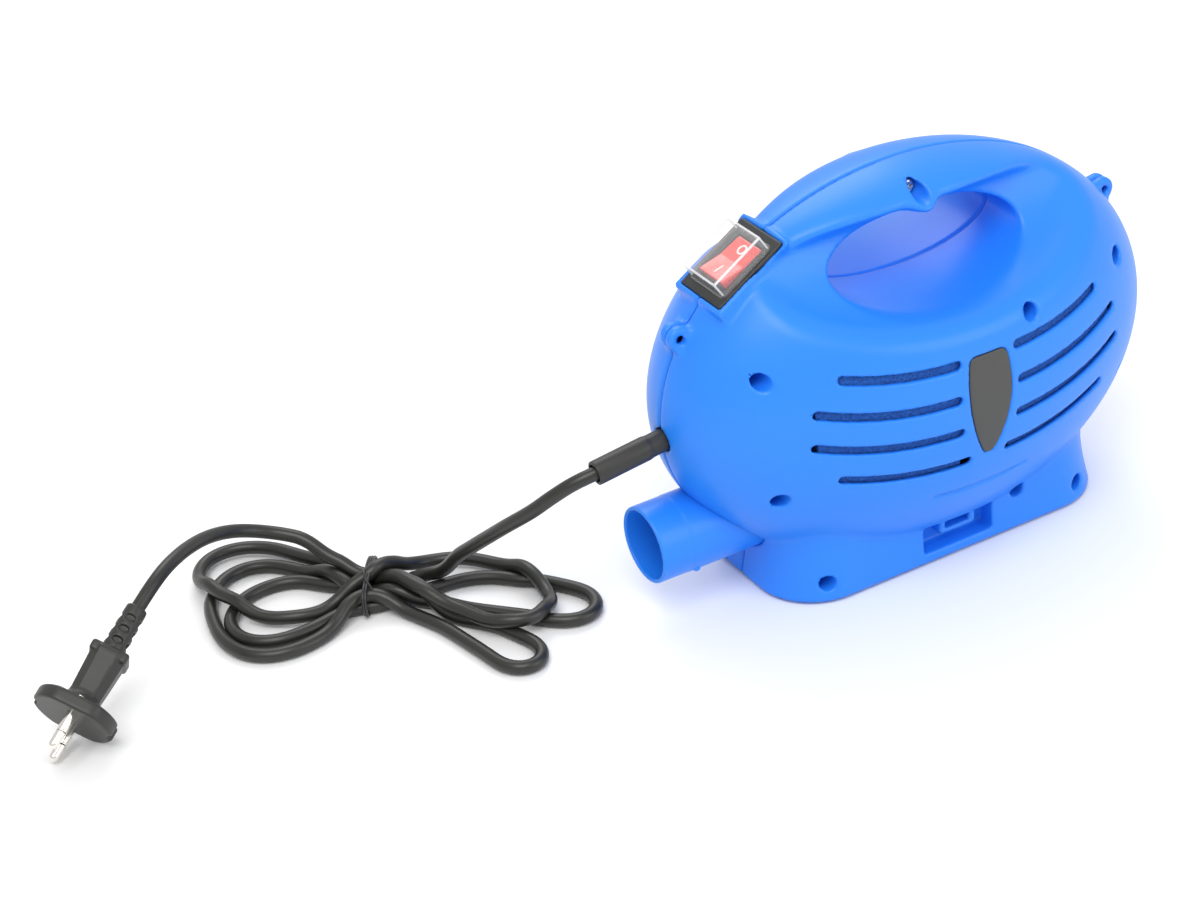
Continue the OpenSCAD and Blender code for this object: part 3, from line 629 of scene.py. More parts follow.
def casing_block(x, y, z):
    """The casing's outer form before the hand hole is cut."""
    body = blend_min(egg_form(x, y, z), foot_form(x, y, z), 2.0)
    body = blend_max(body, PAD_H - z, 2.5)
    sx, sz = switch_frame_axes(x, z)
    switch_rim = box_form(sx, y, sz + 7.0, (23.8, 20.0, 7.4), 1.6)
    body = blend_min(body, switch_rim, 2.5)
    for end in (-1, 1):
        eye = np.hypot(x - end * LUG_X, z - LUG_Z) - LUG_R
        lug = blend_max(eye, np.abs(y) - LUG_HALF, 2.0)
        body = blend_min(body, lug, 5.0)
    return body


def slots_form(x, z):
    """The bowed air slots, mirrored about the middle."""
    ax, best = np.abs(x), None
    for z0, x0, x1 in SLOTS:
        near = np.clip(ax, x0, x1)
        mid = z0 + SLOT_BOW - np.sqrt(SLOT_BOW**2 - (near - x0) ** 2)
        d = np.hypot(ax - near, z - mid) - SLOT_H / 2
        best = d if best is None else np.minimum(best, d)
    return best


def badge_outline(x, z):
    """A tongue: two bowed sides that meet at a small round tip."""
    ax, away = np.abs(x), BADGE_BOW - BADGE_HALF
    drop = BADGE_WIDE_Z - BADGE_TIP_Z
    sides = np.hypot(ax + away, z - BADGE_WIDE_Z) - BADGE_BOW
    tip = np.hypot(ax, z - BADGE_TIP_Z) - (BADGE_BOW - math.hypot(away, drop))
    form = np.where(z - BADGE_TIP_Z < -ax * drop / away, tip, sides)
    return blend_max(form, z - BADGE_TOP_Z, 4.0)


def recess_form(x, y, z, side, grow=0.0):
    half = [h + grow for h in RECESS_HALF]
    return box_form(x, y - side * 60, z - RECESS_Z, half, 1.5)


def bracket_form(x, y, z, side):
    """The block in the foot's recess, with its window."""
    block = box_form(x, y - side * 41.5, z - 19.5, (10.5, 6.0, 5.0), 1.0)
    window = box_form(x, y - side * 44.5, z - 18.8, (7.2, 6.0, 2.2), 0.6)
    return cut(block, window, 0.6)


def groove_form(x, z):
    """The shallow curved groove over the recess."""
    return np.hypot(np.maximum(np.abs(x) - GROOVE_HALF, 0), z - GROOVE_Z - x**2 / 900) - 0.8


def sleeve_hole(x, y, z):
    dx, dz = x - SLEEVE_START[0], z - SLEEVE_START[2]
    c, s = math.cos(SLEEVE_TILT), math.sin(SLEEVE_TILT)
    return np.maximum(np.hypot(y, dz * c - dx * s) - SLEEVE_HOLE_R, dx * c + dz * s - 10)


def shell_form(side):
    """One half of the casing; side -1 is the front, with the screw wells."""
    wall = sizes().wall / MM
    seam = sizes().seam / MM

    def form(x, y, z):
        block, grip = casing_block(x, y, z), grip_form(x, y, z)
        outside = cut(block, grip, 9.0)
        shell = blend_max(outside, -np.maximum(block + wall, GRIP_WALL - grip), 0.5)
        shell = np.minimum(shell, np.maximum(outside, recess_form(x, y, z, side, wall)))
        from_screws = [np.hypot(x - sx, z - sz) for sx, sz in SCREWS]
        for away in from_screws:
            shell = np.minimum(shell, np.maximum(outside, away - BOSS_R))
        past_seam = -side * y
        shell = blend_max(shell, past_seam + 0.02, 2 * seam)
        shell = cut(shell, np.maximum(slots_form(x, z), past_seam + 20), 1.0)
        shell = cut(shell, np.maximum(badge_outline(x, z) - 0.3, -(outside + BADGE_T)), 0.5)
        shell = cut(shell, recess_form(x, y, z, side), 1.2)
        shell = np.minimum(shell, np.maximum(bracket_form(x, y, z, side), outside + 0.5))
        if side < 0:
            for away in from_screws:
                shell = cut(shell, np.maximum(away - WELL_R, y + WELL_DEPTH), 1.4)
        sx, sz = switch_frame_axes(x, z)
        bezel_seat = box_form(sx, y, sz - 10, (21.2, 17.4, 11.7), 0.8)
        switch_hole = box_form(sx, y, sz + 15, (15.4, 12.9, 16.0), 0.4)
        shell = cut(cut(shell, bezel_seat, 0.8), switch_hole, 0.4)
        shell = cut(shell, np.maximum(groove_form(x, z), -(outside + GROOVE_DEPTH)), 0.4)
        for end in (-1, 1):
            shell = cut(shell, np.hypot(x - end * LUG_X, z - LUG_Z) - LUG_HOLE_R, 1.0)
        pipe_hole = np.maximum(np.hypot(y, z - PIPE_Z) - PIPE_R - 0.1, x - PIPE_INNER_X)
        return cut(cut(shell, pipe_hole, 0.6), sleeve_hole(x, y, z), 0.8)

    return form


def badge_form(side):
    """The dark insert, flush with the casing's skin."""

    def form(x, y, z):
        outside = egg_form(x, y, z)
        skin = blend_max(outside + 0.05, -(outside + BADGE_T), 0.6)
        return blend_max(blend_max(badge_outline(x, z), skin, 0.9), -side * y + 20, 0.1)

    return form


class BLOWER_OT_casing(bpy.types.Operator):
    """Build the two casing shells"""

    bl_idname = "blower.casing"
    bl_label = "Casing"

    def execute(self, context):
        cell = sizes().cell / MM
        end, out, margin = EGG[0] + 12, EGG[1] + 4, 4 * cell
        for side, node in ((-1, "housing_front"), (1, "housing_rear")):
            low = [-end, min(0, side * out) - margin / 2, -margin]
            high = [end, max(0, side * out) + margin / 2, EGG_Z + EGG[2] + margin]
            name = node.replace("housing", "shell")
            shell = moulding(name, shell_form(side), low, high, cell, "casing")
            finish_piece(shell, "body", node, slot="body_plastic")
        return {"FINISHED"}


class BLOWER_OT_badges(bpy.types.Operator):
    """Build the dark inserts on both sides"""

    bl_idname = "blower.badges"
    bl_label = "Badges"

    def execute(self, context):
        for side, node in ((-1, "badge_front"), (1, "badge_rear")):
            low = [-15, min(side * 60, side * 80), 68]
            high = [15, max(side * 60, side * 80), 127]
            plate = moulding(f"plate_{node}", badge_form(side), low, high, 0.55, "badge")
            finish_piece(plate, "body", node, slot="badge_plastic")
        return {"FINISHED"}


# ---- Screws --------------------------------------------------------------


def screw_form(x, y, z):
    """A cross-headed screw along Y, with its thread cut into the shank."""
    away = np.hypot(x, z)
    head = blend_max(away - 3.5, np.abs(y + 1.3) - 1.3, 1.4)
    cross = np.maximum(np.minimum(np.abs(x) + 0 * z, np.abs(z) + 0 * x) - 0.45, away - 2.0)
    head = cut(head, np.maximum(cross, y + 1.2), 0.25)
    thread = 0.22 * np.sin(2 * math.pi * y / 1.4 + np.arctan2(z, x))
    shank = blend_max(away - 1.7 + thread, np.abs(y - 5) - 5, 0.4)
    return np.minimum(head, shank)


class BLOWER_OT_screws(bpy.types.Operator):
    """Build the casing screws down their wells"""

    bl_idname = "blower.screws"
    bl_label = "Casing Screws"

    def execute(self, context):
        points, faces = surface(screw_form, [-4.5, -4, -4.5], [4.5, 11, 4.5], 0.4)
        all_points = [points + np.array([x, -WELL_DEPTH, z]) for x, z in SCREWS]
        all_faces = [faces + len(points) * k for k in range(len(SCREWS))]
        screws = mesh_piece("pan_head_screws", np.concatenate(all_points), np.concatenate(all_faces), "steel")
        finish_piece(screws, "body", "housing_screws", slot="plated_steel")
        return {"FINISHED"}


# ---- Outlet --------------------------------------------------------------


class BLOWER_OT_outlet(bpy.types.Operator):
    """Build the air outlet pipe with its nub"""

    bl_idname = "blower.outlet"
    bl_label = "Outlet Pipe"

    def execute(self, context):
        low, high = box_mm("outlet_pipe")
        mouth, inner, bore = low[0], high[0], PIPE_R - 2.2
        nub = math.radians(-42)

        def pipe(x, y, z):
            away = np.hypot(y, z - PIPE_Z)
            outer = PIPE_R - 0.2 * np.clip(mouth + 17.5 - x, 0, 1)
            wall = blend_max(np.maximum(x - inner, mouth - x), np.maximum(away - outer, bore - away), 1.2)
            ny = y + math.cos(nub) * (PIPE_R - 0.6)
            nz = z - PIPE_Z - math.sin(nub) * (PIPE_R - 0.6)
            knob = np.sqrt((x - mouth - 20) ** 2 + ny**2 + nz**2) - 2.1
            return blend_min(wall, knob, 0.6)

        reach = PIPE_R + 2.4
        low, high = [mouth - 1, -reach, PIPE_Z - reach], [inner + 1, reach, PIPE_Z + reach]
        piece = moulding("air_pipe", pipe, low, high, 0.8, "casing")
        finish_piece(piece, "body", "outlet_pipe", slot="body_plastic")
        return {"FINISHED"}


# ---- Switch --------------------------------------------------------------
# The forms stand in the switch's own axes: x along the rocker, z out of the casing.

BEZEL = (41.6, 34.0)
ROCKER = (26.0, 20.0)
PIVOT_Z = -3.6
ROCKER_TILT = math.radians(10)
BOOT = (31.0, 28.0, 9.0)
BOOT_BASE = 0.4
BOOT_WALL = 0.8
MARK_X = 7.0
MARK_Z = 4.3
MARK_SLOPE = 0.115  # rise of the rocker's two halves from its middle


def bezel_form(x, y, z):
    plate = box_form(x, y, z + 0.6, (BEZEL[0] / 2, BEZEL[1] / 2, 1.0), 0.7)
    return cut(plate, plate_form(x, y, ROCKER[0] / 2 + 0.5, ROCKER[1] / 2 + 0.5, 0.6), 0.5)


def boot_block(x, y, z, inset, r):
    """The cover's outer block, drawn in by inset; it runs 4 mm down past its base."""
    half = (BOOT[0] / 2 - inset, BOOT[1] / 2 - inset, BOOT[2] / 2 + 4 - inset)
    return box_form(x, y, z - BOOT_BASE - BOOT[2] / 2 + 4, half, r)


def boot_form(x, y, z):
    inner = -boot_block(x, y, z, BOOT_WALL, 1.2)
    skin = np.maximum(np.maximum(boot_block(x, y, z, 0, 1.2), inner), BOOT_BASE + 0.02 - z)
    flange = np.maximum(plate_form(x, y, BOOT[0] / 2 + 1, BOOT[1] / 2 + 1, 3), inner)
    return blend_min(skin, blend_max(flange, np.abs(z - 0.8) - 0.38, 0.3), 0.5)


def cover_highlight_form(x, y, z):
    """Painted highlight: a whiter, less clear strip along the cover's edges, where its faces meet."""
    ex, ey, ez = BOOT[0] / 2 - np.abs(x), BOOT[1] / 2 - np.abs(y), BOOT[2] + BOOT_BASE - z
    second = np.maximum(np.minimum(ex, ey), np.minimum(np.maximum(ex, ey), ez))
    return blend_max(np.maximum(boot_block(x, y, z, 0.05, 1.1), 0.9 - z), second - 1.15, 0.3)


def rocker_form(x, y, z):
    half = ROCKER[0] / 2 - 0.8
    corners = [(half, 5.6), (0, 4.2), (-half, 5.6)]
    corners += [(-half + 0.8, -0.5), (-4, -5.3), (4, -5.3), (half - 0.8, -0.5)]
    side = polygon_form(x, z, [(a * 0.975, b * 0.95) for a, b in corners]) - 0.3
    key = blend_max(side, np.abs(y) - ROCKER[1] / 2 + 0.1, 0.9)
    axle = blend_max(np.hypot(x, z) - 1.5, np.abs(y) - 12.2, 0.3)
    return np.minimum(key, axle)


def off_mark_form(x, y, z):
    ring = np.abs(np.hypot(x - MARK_X, y) - 2.3) - 0.45
    return np.maximum(ring, np.abs(z - MARK_Z - x * MARK_SLOPE) - 0.35)


def on_mark_form(x, y, z):
    return box_form(x + MARK_X, y, z - MARK_Z + x * MARK_SLOPE, (2.7, 0.45, 0.35))


class BLOWER_OT_switch(bpy.types.Operator):
    """Build the switch bezel, rocker, its marks and the clear cover"""

    bl_idname = "blower.switch"
    bl_label = "Rocker Switch"

    def execute(self, context):
        place, cell = switch_place(), sizes().fine_cell / MM
        plate_reach = (BEZEL[0] / 2 + 1, BEZEL[1] / 2 + 1, -2.5, 1.5)
        # Name, form, reach in x and y, lowest and highest z, finish, replaced nodes, slot
        for name, form, (rx, ry, low, high), finish, nodes, slot in (
            ("switch_frame_plate", bezel_form, plate_reach, "black", ["switch_bezel"], "black_plastic"),
            ("splash_cover", boot_form, (17.5, 16, -0.6, 10.5), "clear", ["switch_boot"], "clear_boot"),
            # The edge strip is a painted highlight on the switch cover's edges
            ("cover_edge_highlights", cover_highlight_form, (17, 16, 0, 10.5), "edge", [], "clear_boot"),
        ):
            piece = moulding(name, form, [-rx, -ry, low], [rx, ry, high], cell, finish, place)
            finish_piece(piece, "body", *nodes, slot=slot)
        tilt = place @ Matrix.Translation((0, 0, PIVOT_Z * MM)) @ Matrix.Rotation(ROCKER_TILT, 4, "Y")
        piece = moulding("red_rocker", rocker_form, [-14, -13.5, -7], [14, 13.5, 7], cell, "rocker", tilt)
        finish_piece(piece, "rocker_body", "rocker", slot="red_plastic")
        for name, form, low, high in (
            ("mark_off", off_mark_form, [3, -4, 3.5], [11, 4, 7]),
            ("mark_on", on_mark_form, [-11, -2, 3.5], [-3, 2, 7]),
        ):
            mark = moulding(name, form, low, high, 0.2, "white", tilt)
            finish_piece(mark, "rocker_body", slot="red_plastic")
        return {"FINISHED"}


# ---- Cord ----------------------------------------------------------------

SLEEVE_WAY = Vector((-math.cos(SLEEVE_TILT), 0, -math.sin(SLEEVE_TILT)))


def sleeve_point(t):
    return tuple(Vector(SLEEVE_START) + t * SLEEVE_WAY)


LEAD = [sleeve_point(53), sleeve_point(58), (-181.5, 3, 84.6), (-190.5, 9, 77.5), (-198, 17, 68.5)]
LEAD += [(-206, 31, 56), (-212, 47, 42), (-218, 63, 28), (-224, 78, 16), (-231, 92, 8)]
TIE = Vector((-256, 92, 0))
ALONG = Vector((-0.84, 0.54, 0)).normalized()
ACROSS = Vector((0.54, 0.84, 0)).normalized()
TIE_HALF = 5.0  # half the straight run of a strand in the tie
TIE_CLEAR = 26.0  # a loop's points nearer to the tie than this are left out
# Places of the seven strands in the tie, as (across, height), in the order the cord passes through it
STRANDS = [(3.7, 3.6), (-11.0, 3.6), (-3.7, 3.6), (-7.4, 10.4), (11.0, 3.6), (0.0, 10.4), (7.4, 10.4)]
LOOPS = [
    [(-253, 108), (-280, 124), (-294, 129), (-307, 128), (-316, 123), (-323, 114), (-326, 104),
     (-324, 93), (-313, 84), (-298, 82), (-281, 84)],
    [(-239, 78), (-220, 77), (-202, 70), (-185, 54), (-173, 38), (-166, 22), (-170, 10),
     (-181, 8), (-192, 17), (-205, 32), (-221, 50), (-233, 66)],
    [(-271, 122), (-285, 144), (-299, 153), (-313, 149), (-324, 137), (-330, 119), (-332, 98),
     (-327, 82), (-318, 74), (-304, 71), (-286, 75)],
    [(-248, 72), (-241, 50), (-235, 26), (-231, 6), (-228, -6), (-219, -14), (-209, -8),
     (-209, 6), (-218, 30), (-232, 52)],
    [(-262, 124), (-270, 140), (-281, 159), (-294, 169), (-309, 172), (-319, 165), (-324, 152),
     (-322, 134), (-315, 113), (-302, 98), (-286, 92)],
    [(-244, 96), (-229, 99), (-211, 95), (-199, 84), (-190, 69), (-185, 50), (-186, 32),
     (-192, 19), (-201, 14), (-213, 18), (-223, 32), (-231, 48), (-239, 64)],
]
LOOP_HEIGHT = [3.6, 3.6, 10.5, 10.5, 17.0, 17.0]
TAIL = [(-262, 104, 22), (-268, 117, 24), (-277, 128, 27), (-290, 136, 31), (-305, 137, 37)]
TAIL += [(-320, 131, 43), (-335, 120, 48), (-349, 108, 50.5), (-360, 99.5, 49)]
PLUG_FACE = Vector((-420, 62, 18.6))
PLUG_L = 62.0


def plug_place():
    turn = Matrix.Rotation(math.radians(-148), 4, "Z") @ Matrix.Rotation(math.radians(24), 4, "Y")
    return Matrix.Translation(PLUG_FACE * MM) @ turn @ Matrix.Rotation(math.radians(-29), 4, "X")


def through_points(points, spacing):
    """Evenly spaced points along a smooth curve through the given ones."""
    p = np.array(points, dtype=float)
    n = len(p) - 1
    out = []
    for i in range(n):
        a, b, c, d = p[max(i - 1, 0)], p[i], p[i + 1], p[min(i + 2, n)]
        for t in np.linspace(0, 1, 16, endpoint=False):
            bend = (2 * a - 5 * b + 4 * c - d) * t**2 + (3 * b - a - 3 * c + d) * t**3
            out.append(0.5 * (2 * b + (c - a) * t + bend))
    out.append(p[n])
    out = np.array(out)
    run = np.concatenate([[0], np.cumsum(np.linalg.norm(np.diff(out, axis=0), axis=1))])
    even = np.linspace(0, run[-1], int(round(run[-1] / spacing)) + 1)
    return np.stack([np.interp(even, run, out[:, k]) for k in range(3)], axis=1)


def cord_route():
    """The cord from the sleeve to the plug, with the hank's loops gathered in the tie."""
    points = list(LEAD)

    def strand(index, way):
        across, height = STRANDS[index]
        for t in (-TIE_HALF, 0, TIE_HALF):
            spot = TIE + ALONG * (t * way) + ACROSS * across
            points.append((spot.x, spot.y, height))

    for k, loop in enumerate(LOOPS):
        strand(k, 1 if k % 2 == 0 else -1)
        for x, y in loop:
            if math.hypot(x - TIE.x, y - TIE.y) > TIE_CLEAR:
                points.append((x, y, LOOP_HEIGHT[k]))
    strand(6, 1)
    points.extend(TAIL[1:])
    tail_end = plug_place() @ Vector((-PLUG_L * MM, 0, 0)) / MM
    points.append(tuple(tail_end))
    return settle(through_points(points, 3.0))


def settle(p, rounds=300, gap=7.1, floor=3.65):
    """Lets the cord lie: strands push apart, it stays smooth and of one length, and rests on the floor."""
    n = len(p)
    rest = np.linalg.norm(np.diff(p, axis=0), axis=1).mean()
    home = p.copy()
    held = np.zeros(n, dtype=bool)
    held[:3] = held[-4:] = True
    tied = np.hypot(p[:, 0] - TIE.x, p[:, 1] - TIE.y) < 7
    hung = (home[:, 2] > 26) & ~held
    i, j = np.triu_indices(n, k=7)
    for step in range(rounds):
        late = step > 0.6 * rounds
        # Strands closer than the gap push apart, most of all up and down
        if step % 4 == 0:
            close = np.linalg.norm(p[j] - p[i], axis=1) < gap + 5
            ni, nj = i[close], j[close]
        d = p[nj] - p[ni]
        dist = np.linalg.norm(d, axis=1)
        near = dist < gap
        a, b, v, size = ni[near], nj[near], d[near], dist[near]
        v[:, 2] += np.where(np.abs(v[:, 2]) > 0.5, np.sign(v[:, 2]), 1.0) * 0.6 * size
        push = v / np.maximum(np.linalg.norm(v, axis=1, keepdims=True), 1e-6) * ((gap - size) * 0.35)[:, None]
        move, hits = np.zeros_like(p), np.zeros(n)
        np.add.at(move, a, -push)
        np.add.at(move, b, push)
        np.add.at(hits, a, 1)
        np.add.at(hits, b, 1)
        move /= np.maximum(hits, 1)[:, None] ** 0.5
        # The cord sinks, and is drawn back a little to where it started
        move[:, 2] -= 0.05 if step < rounds * 0.8 else 0.0
        move[:, :2] += 0.02 * (home - p)[:, :2]
        move[hung] = 0.2 * (home - p)[hung]
        q = p + move
        # Sharp turns are eased and the rest is smoothed, then each step is brought back to its length
        turn = np.zeros_like(q)
        turn[1:-1] = (q[:-2] + q[2:]) / 2 - q[1:-1]
        sharp = np.clip(np.linalg.norm(turn, axis=1, keepdims=True) / 0.18 - 1, 0, 1)
        sharp[1:-1] = np.maximum(sharp[1:-1], np.maximum(sharp[:-2], sharp[2:]))
        middle = q.copy()
        middle[2:-2] = (-q[:-4] + 4 * q[1:-3] + 10 * q[2:-2] + 4 * q[3:-1] - q[4:]) / 16
        q = (1 - sharp) * (0.5 * q + 0.5 * middle) + sharp * (q + 0.7 * turn)
        for _ in range(2):
            s = np.diff(q, axis=0)
            long = np.linalg.norm(s, axis=1, keepdims=True)
            fix = s * (1 - rest / np.maximum(long, 1e-6)) * (0.1 if late else 0.2)
            q[:-1] += fix
            q[1:] -= fix
        q[:, 2] = np.maximum(q[:, 2], floor)
        q[held] = home[held]
        pull = 0.02 if late else 0.3
        q[tied] = (1 - pull) * q[tied] + pull * home[tied]
        p = q
    return p


def curve_piece(name, points, radius, finish, cyclic=False, sides=6):
    curve = bpy.data.curves.new(name, "CURVE")
    curve.dimensions = "3D"
    curve.bevel_depth = radius * MM
    curve.bevel_resolution = sides
    curve.use_fill_caps = True
    spline = curve.splines.new("POLY")
    spline.points.add(len(points) - 1)
    for spot, co in zip(spline.points, points):
        spot.co = (*(np.array(co) * MM), 1)
    spline.use_cyclic_u = cyclic
    spline.use_smooth = True
    obj = bpy.data.objects.new(name, curve)
    bpy.context.scene.collection.objects.link(obj)
    paint(obj, finish)
    return obj


# The plug's forms lie along its own X axis, with the face that the pins stand on at x = 0.

PLUG_R = 20.5
PLUG_FLAT = 18.0
PIN_SPACING = 9.5
PIN_R = 2.4


def plug_form(x, y, z):
    """A flat-sided disc, an eight-sided grip behind it, a collar and a ribbed cord relief."""
    away = np.hypot(y, z)
    disc = blend_max(away - PLUG_R, np.abs(x + 3.5) - 3.5, 1.6)
    disc = blend_max(disc, np.abs(z) - PLUG_FLAT, 1.5)
    for s in (-1, 1):
        disc = cut(disc, np.hypot(y - s * (PLUG_R + 1), z) - 3.4, 0.8)
    half = 7.4 + np.clip(-x - 8, 0, 26) * 0.05
    square = np.maximum(np.abs(y), np.abs(z)) - half
    grip = np.maximum(square, (np.abs(y) + np.abs(z)) * 0.7071 - half * 1.08)
    grip = blend_max(grip, np.abs(x + 21) - 15.5, 1.5)
    foot = blend_max(away - 12.5 + np.clip(-x - 7, 0, 5) * 0.9, np.abs(x + 9) - 3.2, 1.0)
    collar = box_form(x + 35, y, z, (2.8, 9.5, 8.0), 1.6)
    relief = blend_max(away - 5.9 + np.clip(-x - 38, 0, 30) * 0.03, np.abs(x + 50) - 12, 1.0)
    for k in range(3):
        at = x + 42.5 + 6.2 * k
        for turn in (0, 1):
            u, v = (y, z) if (turn + k) % 2 == 0 else (z, y)
            relief = cut(relief, np.maximum(np.hypot(at, u * 0.62) - 1.7, 3.9 - np.abs(v)), 0.5)
    form = blend_min(blend_min(disc, foot, 1.5), blend_min(grip, collar, 1.0), 1.5)
    return blend_min(form, relief, 0.8)


def pins_form(x, y, z):
    """Two round pins with rounded ends and a fine ring groove."""
    best = None
    for s in (-1, 1):
        away = np.hypot(y, z - s * PIN_SPACING)
        rod = blend_max(away - PIN_R, np.abs(x - 4.5) - 14.4, 3.0)
        rod = cut(rod, np.maximum(np.abs(x - 9.5) - 0.35, PIN_R - 0.25 - away), 0.3)
        best = rod if best is None else np.minimum(best, rod)
    return best


class BLOWER_OT_cord(bpy.types.Operator):
    """Build the sleeve, the tied cord and the plug"""

    bl_idname = "blower.cord"
    bl_label = "Cord and Plug"

    def execute(self, context):
        sleeve = self.sleeve()
        plug, pins = self.plug()
        tie = self.tie()
        route = cord_route()
        cord = curve_piece("mains_cord", route, sizes().cord / MM / 2, "cord", sides=8)
        finish_piece(cord, "body", "cord_lead", "cord_hank", "cord_tail", slot="cord_rubber")
        tuple(route[0] * MM)
        return {"FINISHED"}

    def sleeve(self):
        rim = SLEEVE_L - 5
        corners = [(0, 3.5, 0), (0, 5.2, 0), (18, 5.2, 0), (19, 5.6, 0.3), (28, 5.6, 0.4), (30, 6.0, 0.6)]
        corners += [(SLEEVE_L, 6.0, 0.7), (SLEEVE_L, 4.6, 0.4), (rim, 4.5, 0), (rim, 3.5, 0)]
        profile = rounded_profile(corners)
        piece = lathe("cord_guard", profile[::-1], "plug", sleeve_place(), 64)
        return finish_piece(piece, "body", "cord_sleeve", slot="cord_rubber")

    def tie(self):
        """A thin black twist tie, two turns round the hank and a knot with a free end."""
        spots = []
        half_width, middle, half_height, turns = 19.0, 8.6, 8.4, 2.25
        for t in np.linspace(0, turns * 2 * math.pi, 96):
            side = half_width * abs(math.cos(t)) ** 0.6 * math.copysign(1, math.cos(t))
            up = middle + half_height * abs(math.sin(t)) ** 0.6 * math.copysign(1, math.sin(t))
            spot = TIE + ALONG * (-1.2 + 0.19 * t) + ACROSS * side
            spots.append((spot.x, spot.y, max(up, 0.8)))
        knot = Vector(spots[-1])
        for step in ((-2, -4, 3), (-3, -9, 1), (-1, -14, -6), (2, -18, -10), (5, -19, -12)):
            spots.append(tuple(knot + Vector(step)))
        smooth = through_points([(x, y, max(z, 0.8)) for x, y, z in spots], 1.2)
        piece = curve_piece("twist_tie", smooth, 0.7, "black", sides=3)
        return finish_piece(piece, "body", "cord_tie", slot="black_plastic")

    def plug(self):
        place, cell = plug_place(), sizes().fine_cell / MM * 1.3
        plug = moulding("contour_plug", plug_form, [-63, -22, -22], [1, 22, 22], cell, "plug", place)
        finish_piece(plug, "body", "plug_body", slot="cord_rubber")
        pins = moulding("contact_pins", pins_form, [-11, -3.2, -13], [20, 3.2, 13], 0.4, "nickel", place)
        finish_piece(pins, "body", "plug_pins", slot="nickel")
        return plug, pins


# ---- Parts inside keep their CAD shape -----------------------------------

CAD_FINISHES = {
    "steel": ["switch_terminals", "clamp_screws", "frame_bolts", "rear_bearing", "front_bearing"]
    + ["rotor_shaft", "fan_nut"],
    "black": ["switch_body"],
    "pads": ["foot_pads", "rear_mount_ring", "front_mount_ring"],
    "nylon": ["cord_clamp"],
    "wires": ["supply_wires"],
    "film": ["capacitor"],
    "sheets": ["stator_core", "armature_core"],
    "wire": ["field_coils", "armature_windings"],
    "bars": ["commutator"],
    "brass": ["brush_holders"],
    "carbon": ["carbon_brushes"],
    "cast": ["drive_frame"],
    "pressed": ["fan_can", "diffuser", "impeller_inner", "impeller_outer"],
    "dark": ["brush_frame", "air_duct"],
    "casing": ["motor_saddles"],
    "foam": ["filter_front", "filter_rear"],
}


class BLOWER_OT_inside(bpy.types.Operator):
    """Give the motor, turbine and other inner parts their finishes"""

    bl_idname = "blower.inside"
    bl_label = "Inner Parts"

    def execute(self, context):
        for finish, nodes in CAD_FINISHES.items():
            for node in nodes:
                paint(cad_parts[node], finish)
        return {"FINISHED"}


# ---- Stage, in metres ----------------------------------------------------

FLOOR_HALF_MM = 6000
CAMERA_SPOT = Vector((-0.598, -0.8692, 0.687))
CAMERA_AHEAD = Vector((0.37981, 0.76635, -0.51813))
CAMERA_RIGHT = Vector((0.8676, -0.4894, -0.0879))
CAMERA_LENS = 73.64
SENSOR_WIDTH = 36.0
# Name, place, what it points at, width and power of each light
LIGHTS = [
    ("key", (-0.9, -0.9, 2.0), (0.0, 0.0, 0.1), 1.3, 26),
    ("fill", (0.9, -1.6, 1.0), (0.0, 0.0, 0.1), 1.2, 10),
    ("back", (0.4, 1.4, 1.7), (0.0, 0.0, 0.15), 1.2, 14),
]


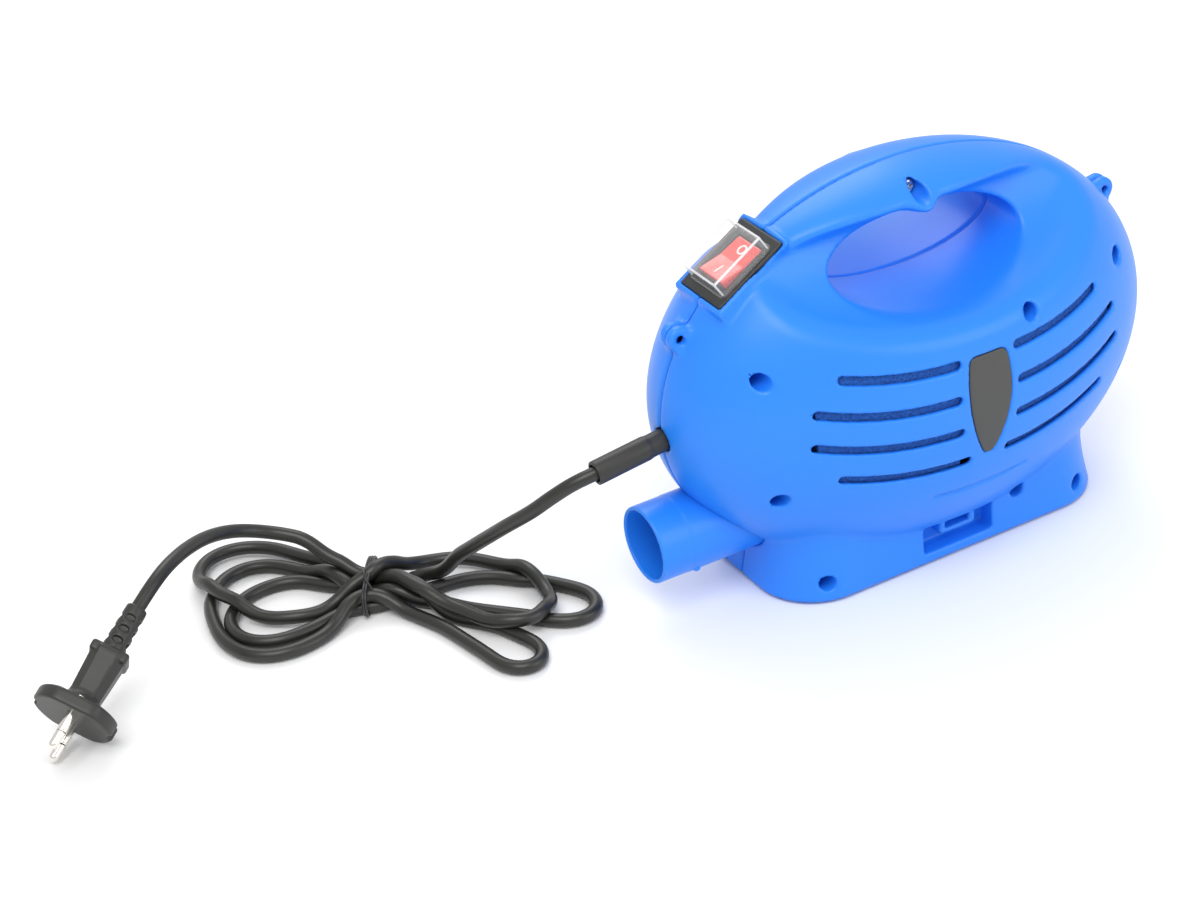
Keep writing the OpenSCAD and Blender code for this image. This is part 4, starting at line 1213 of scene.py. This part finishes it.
class BLOWER_OT_stage(bpy.types.Operator):
    """Set up the pale floor, the soft lights and the camera"""

    bl_idname = "blower.stage"
    bl_label = "Stage"

    def execute(self, context):
        self.floor()
        self.lights()
        self.camera()
        return {"FINISHED"}

    def floor(self):
        f = Finish("pale_floor")
        f.set(base_color=f.mix(f.noise(3.0), (0.90, 0.90, 0.90), (0.93, 0.93, 0.93)), roughness=0.6)
        FINISHES["floor"] = f
        half = FLOOR_HALF_MM
        corners = [(-half, -half, 0), (half, -half, 0), (half, half, 0), (-half, half, 0)]
        mesh_piece("floor", corners, [(0, 1, 2, 3)], "floor")

    def lights(self):
        world = bpy.data.worlds.new("studio")
        world.use_nodes = True
        world.node_tree.nodes["Background"].inputs[0].default_value = (1, 1, 1, 1)
        world.node_tree.nodes["Background"].inputs[1].default_value = 0.75
        bpy.context.scene.world = world
        bpy.context.scene.view_settings.view_transform = "Standard"
        for name, spot, aim, size, power in LIGHTS:
            light = bpy.data.lights.new(name, "AREA")
            light.size, light.energy = size, power
            obj = bpy.data.objects.new(name, light)
            obj.location = spot
            obj.rotation_euler = (Vector(aim) - Vector(spot)).to_track_quat("-Z", "Y").to_euler()
            bpy.context.scene.collection.objects.link(obj)

    def camera(self):
        ahead, right = CAMERA_AHEAD.normalized(), CAMERA_RIGHT
        right = (right - ahead * right.dot(ahead)).normalized()
        up = right.cross(ahead)
        lens = bpy.data.cameras.new("camera")
        lens.lens, lens.sensor_width = CAMERA_LENS, SENSOR_WIDTH
        lens.clip_start, lens.clip_end = 0.05, 50
        eye = bpy.data.objects.new("camera", lens)
        turn = Matrix((right, up, -ahead)).transposed().to_4x4()
        eye.matrix_world = Matrix.Translation(CAMERA_SPOT) @ turn
        bpy.context.scene.collection.objects.link(eye)
        bpy.context.scene.camera = eye


# ---- Panel and running order ---------------------------------------------

OPERATORS = [
    BLOWER_OT_stage,
    BLOWER_OT_cord,
    BLOWER_OT_casing,
    BLOWER_OT_badges,
    BLOWER_OT_screws,
    BLOWER_OT_outlet,
    BLOWER_OT_switch,
    BLOWER_OT_inside,
]


class BLOWER_PT_panel(bpy.types.Panel):
    """Lists the blower's parts"""

    bl_idname = "BLOWER_PT_panel"
    bl_label = "Turbine Air Blower"
    bl_space_type = "VIEW_3D"
    bl_region_type = "UI"
    bl_category = "Blower"

    def draw(self, context):
        for group in (context.scene.blower_sizes, context.scene.blower_colours):
            for key in group.bl_rna.properties.keys():
                if key not in ("rna_type", "name"):
                    self.layout.prop(group, key)
        for operator in OPERATORS:
            self.layout.operator(operator.bl_idname)


CLASSES = [BLOWER_PG_sizes, BLOWER_PG_colours, *OPERATORS, BLOWER_PT_panel]


def register():
    for cls in CLASSES:
        bpy.utils.register_class(cls)
    bpy.types.Scene.blower_sizes = PointerProperty(type=BLOWER_PG_sizes)
    bpy.types.Scene.blower_colours = PointerProperty(type=BLOWER_PG_colours)


def unregister():
    del bpy.types.Scene.blower_colours
    del bpy.types.Scene.blower_sizes
    for cls in reversed(CLASSES):
        bpy.utils.unregister_class(cls)


def main():
    register()
    make_finishes()
    for operator in OPERATORS:
        group, name = operator.bl_idname.split(".")
        getattr(getattr(bpy.ops, group), name)()


if __name__ == "__main__":
    main()
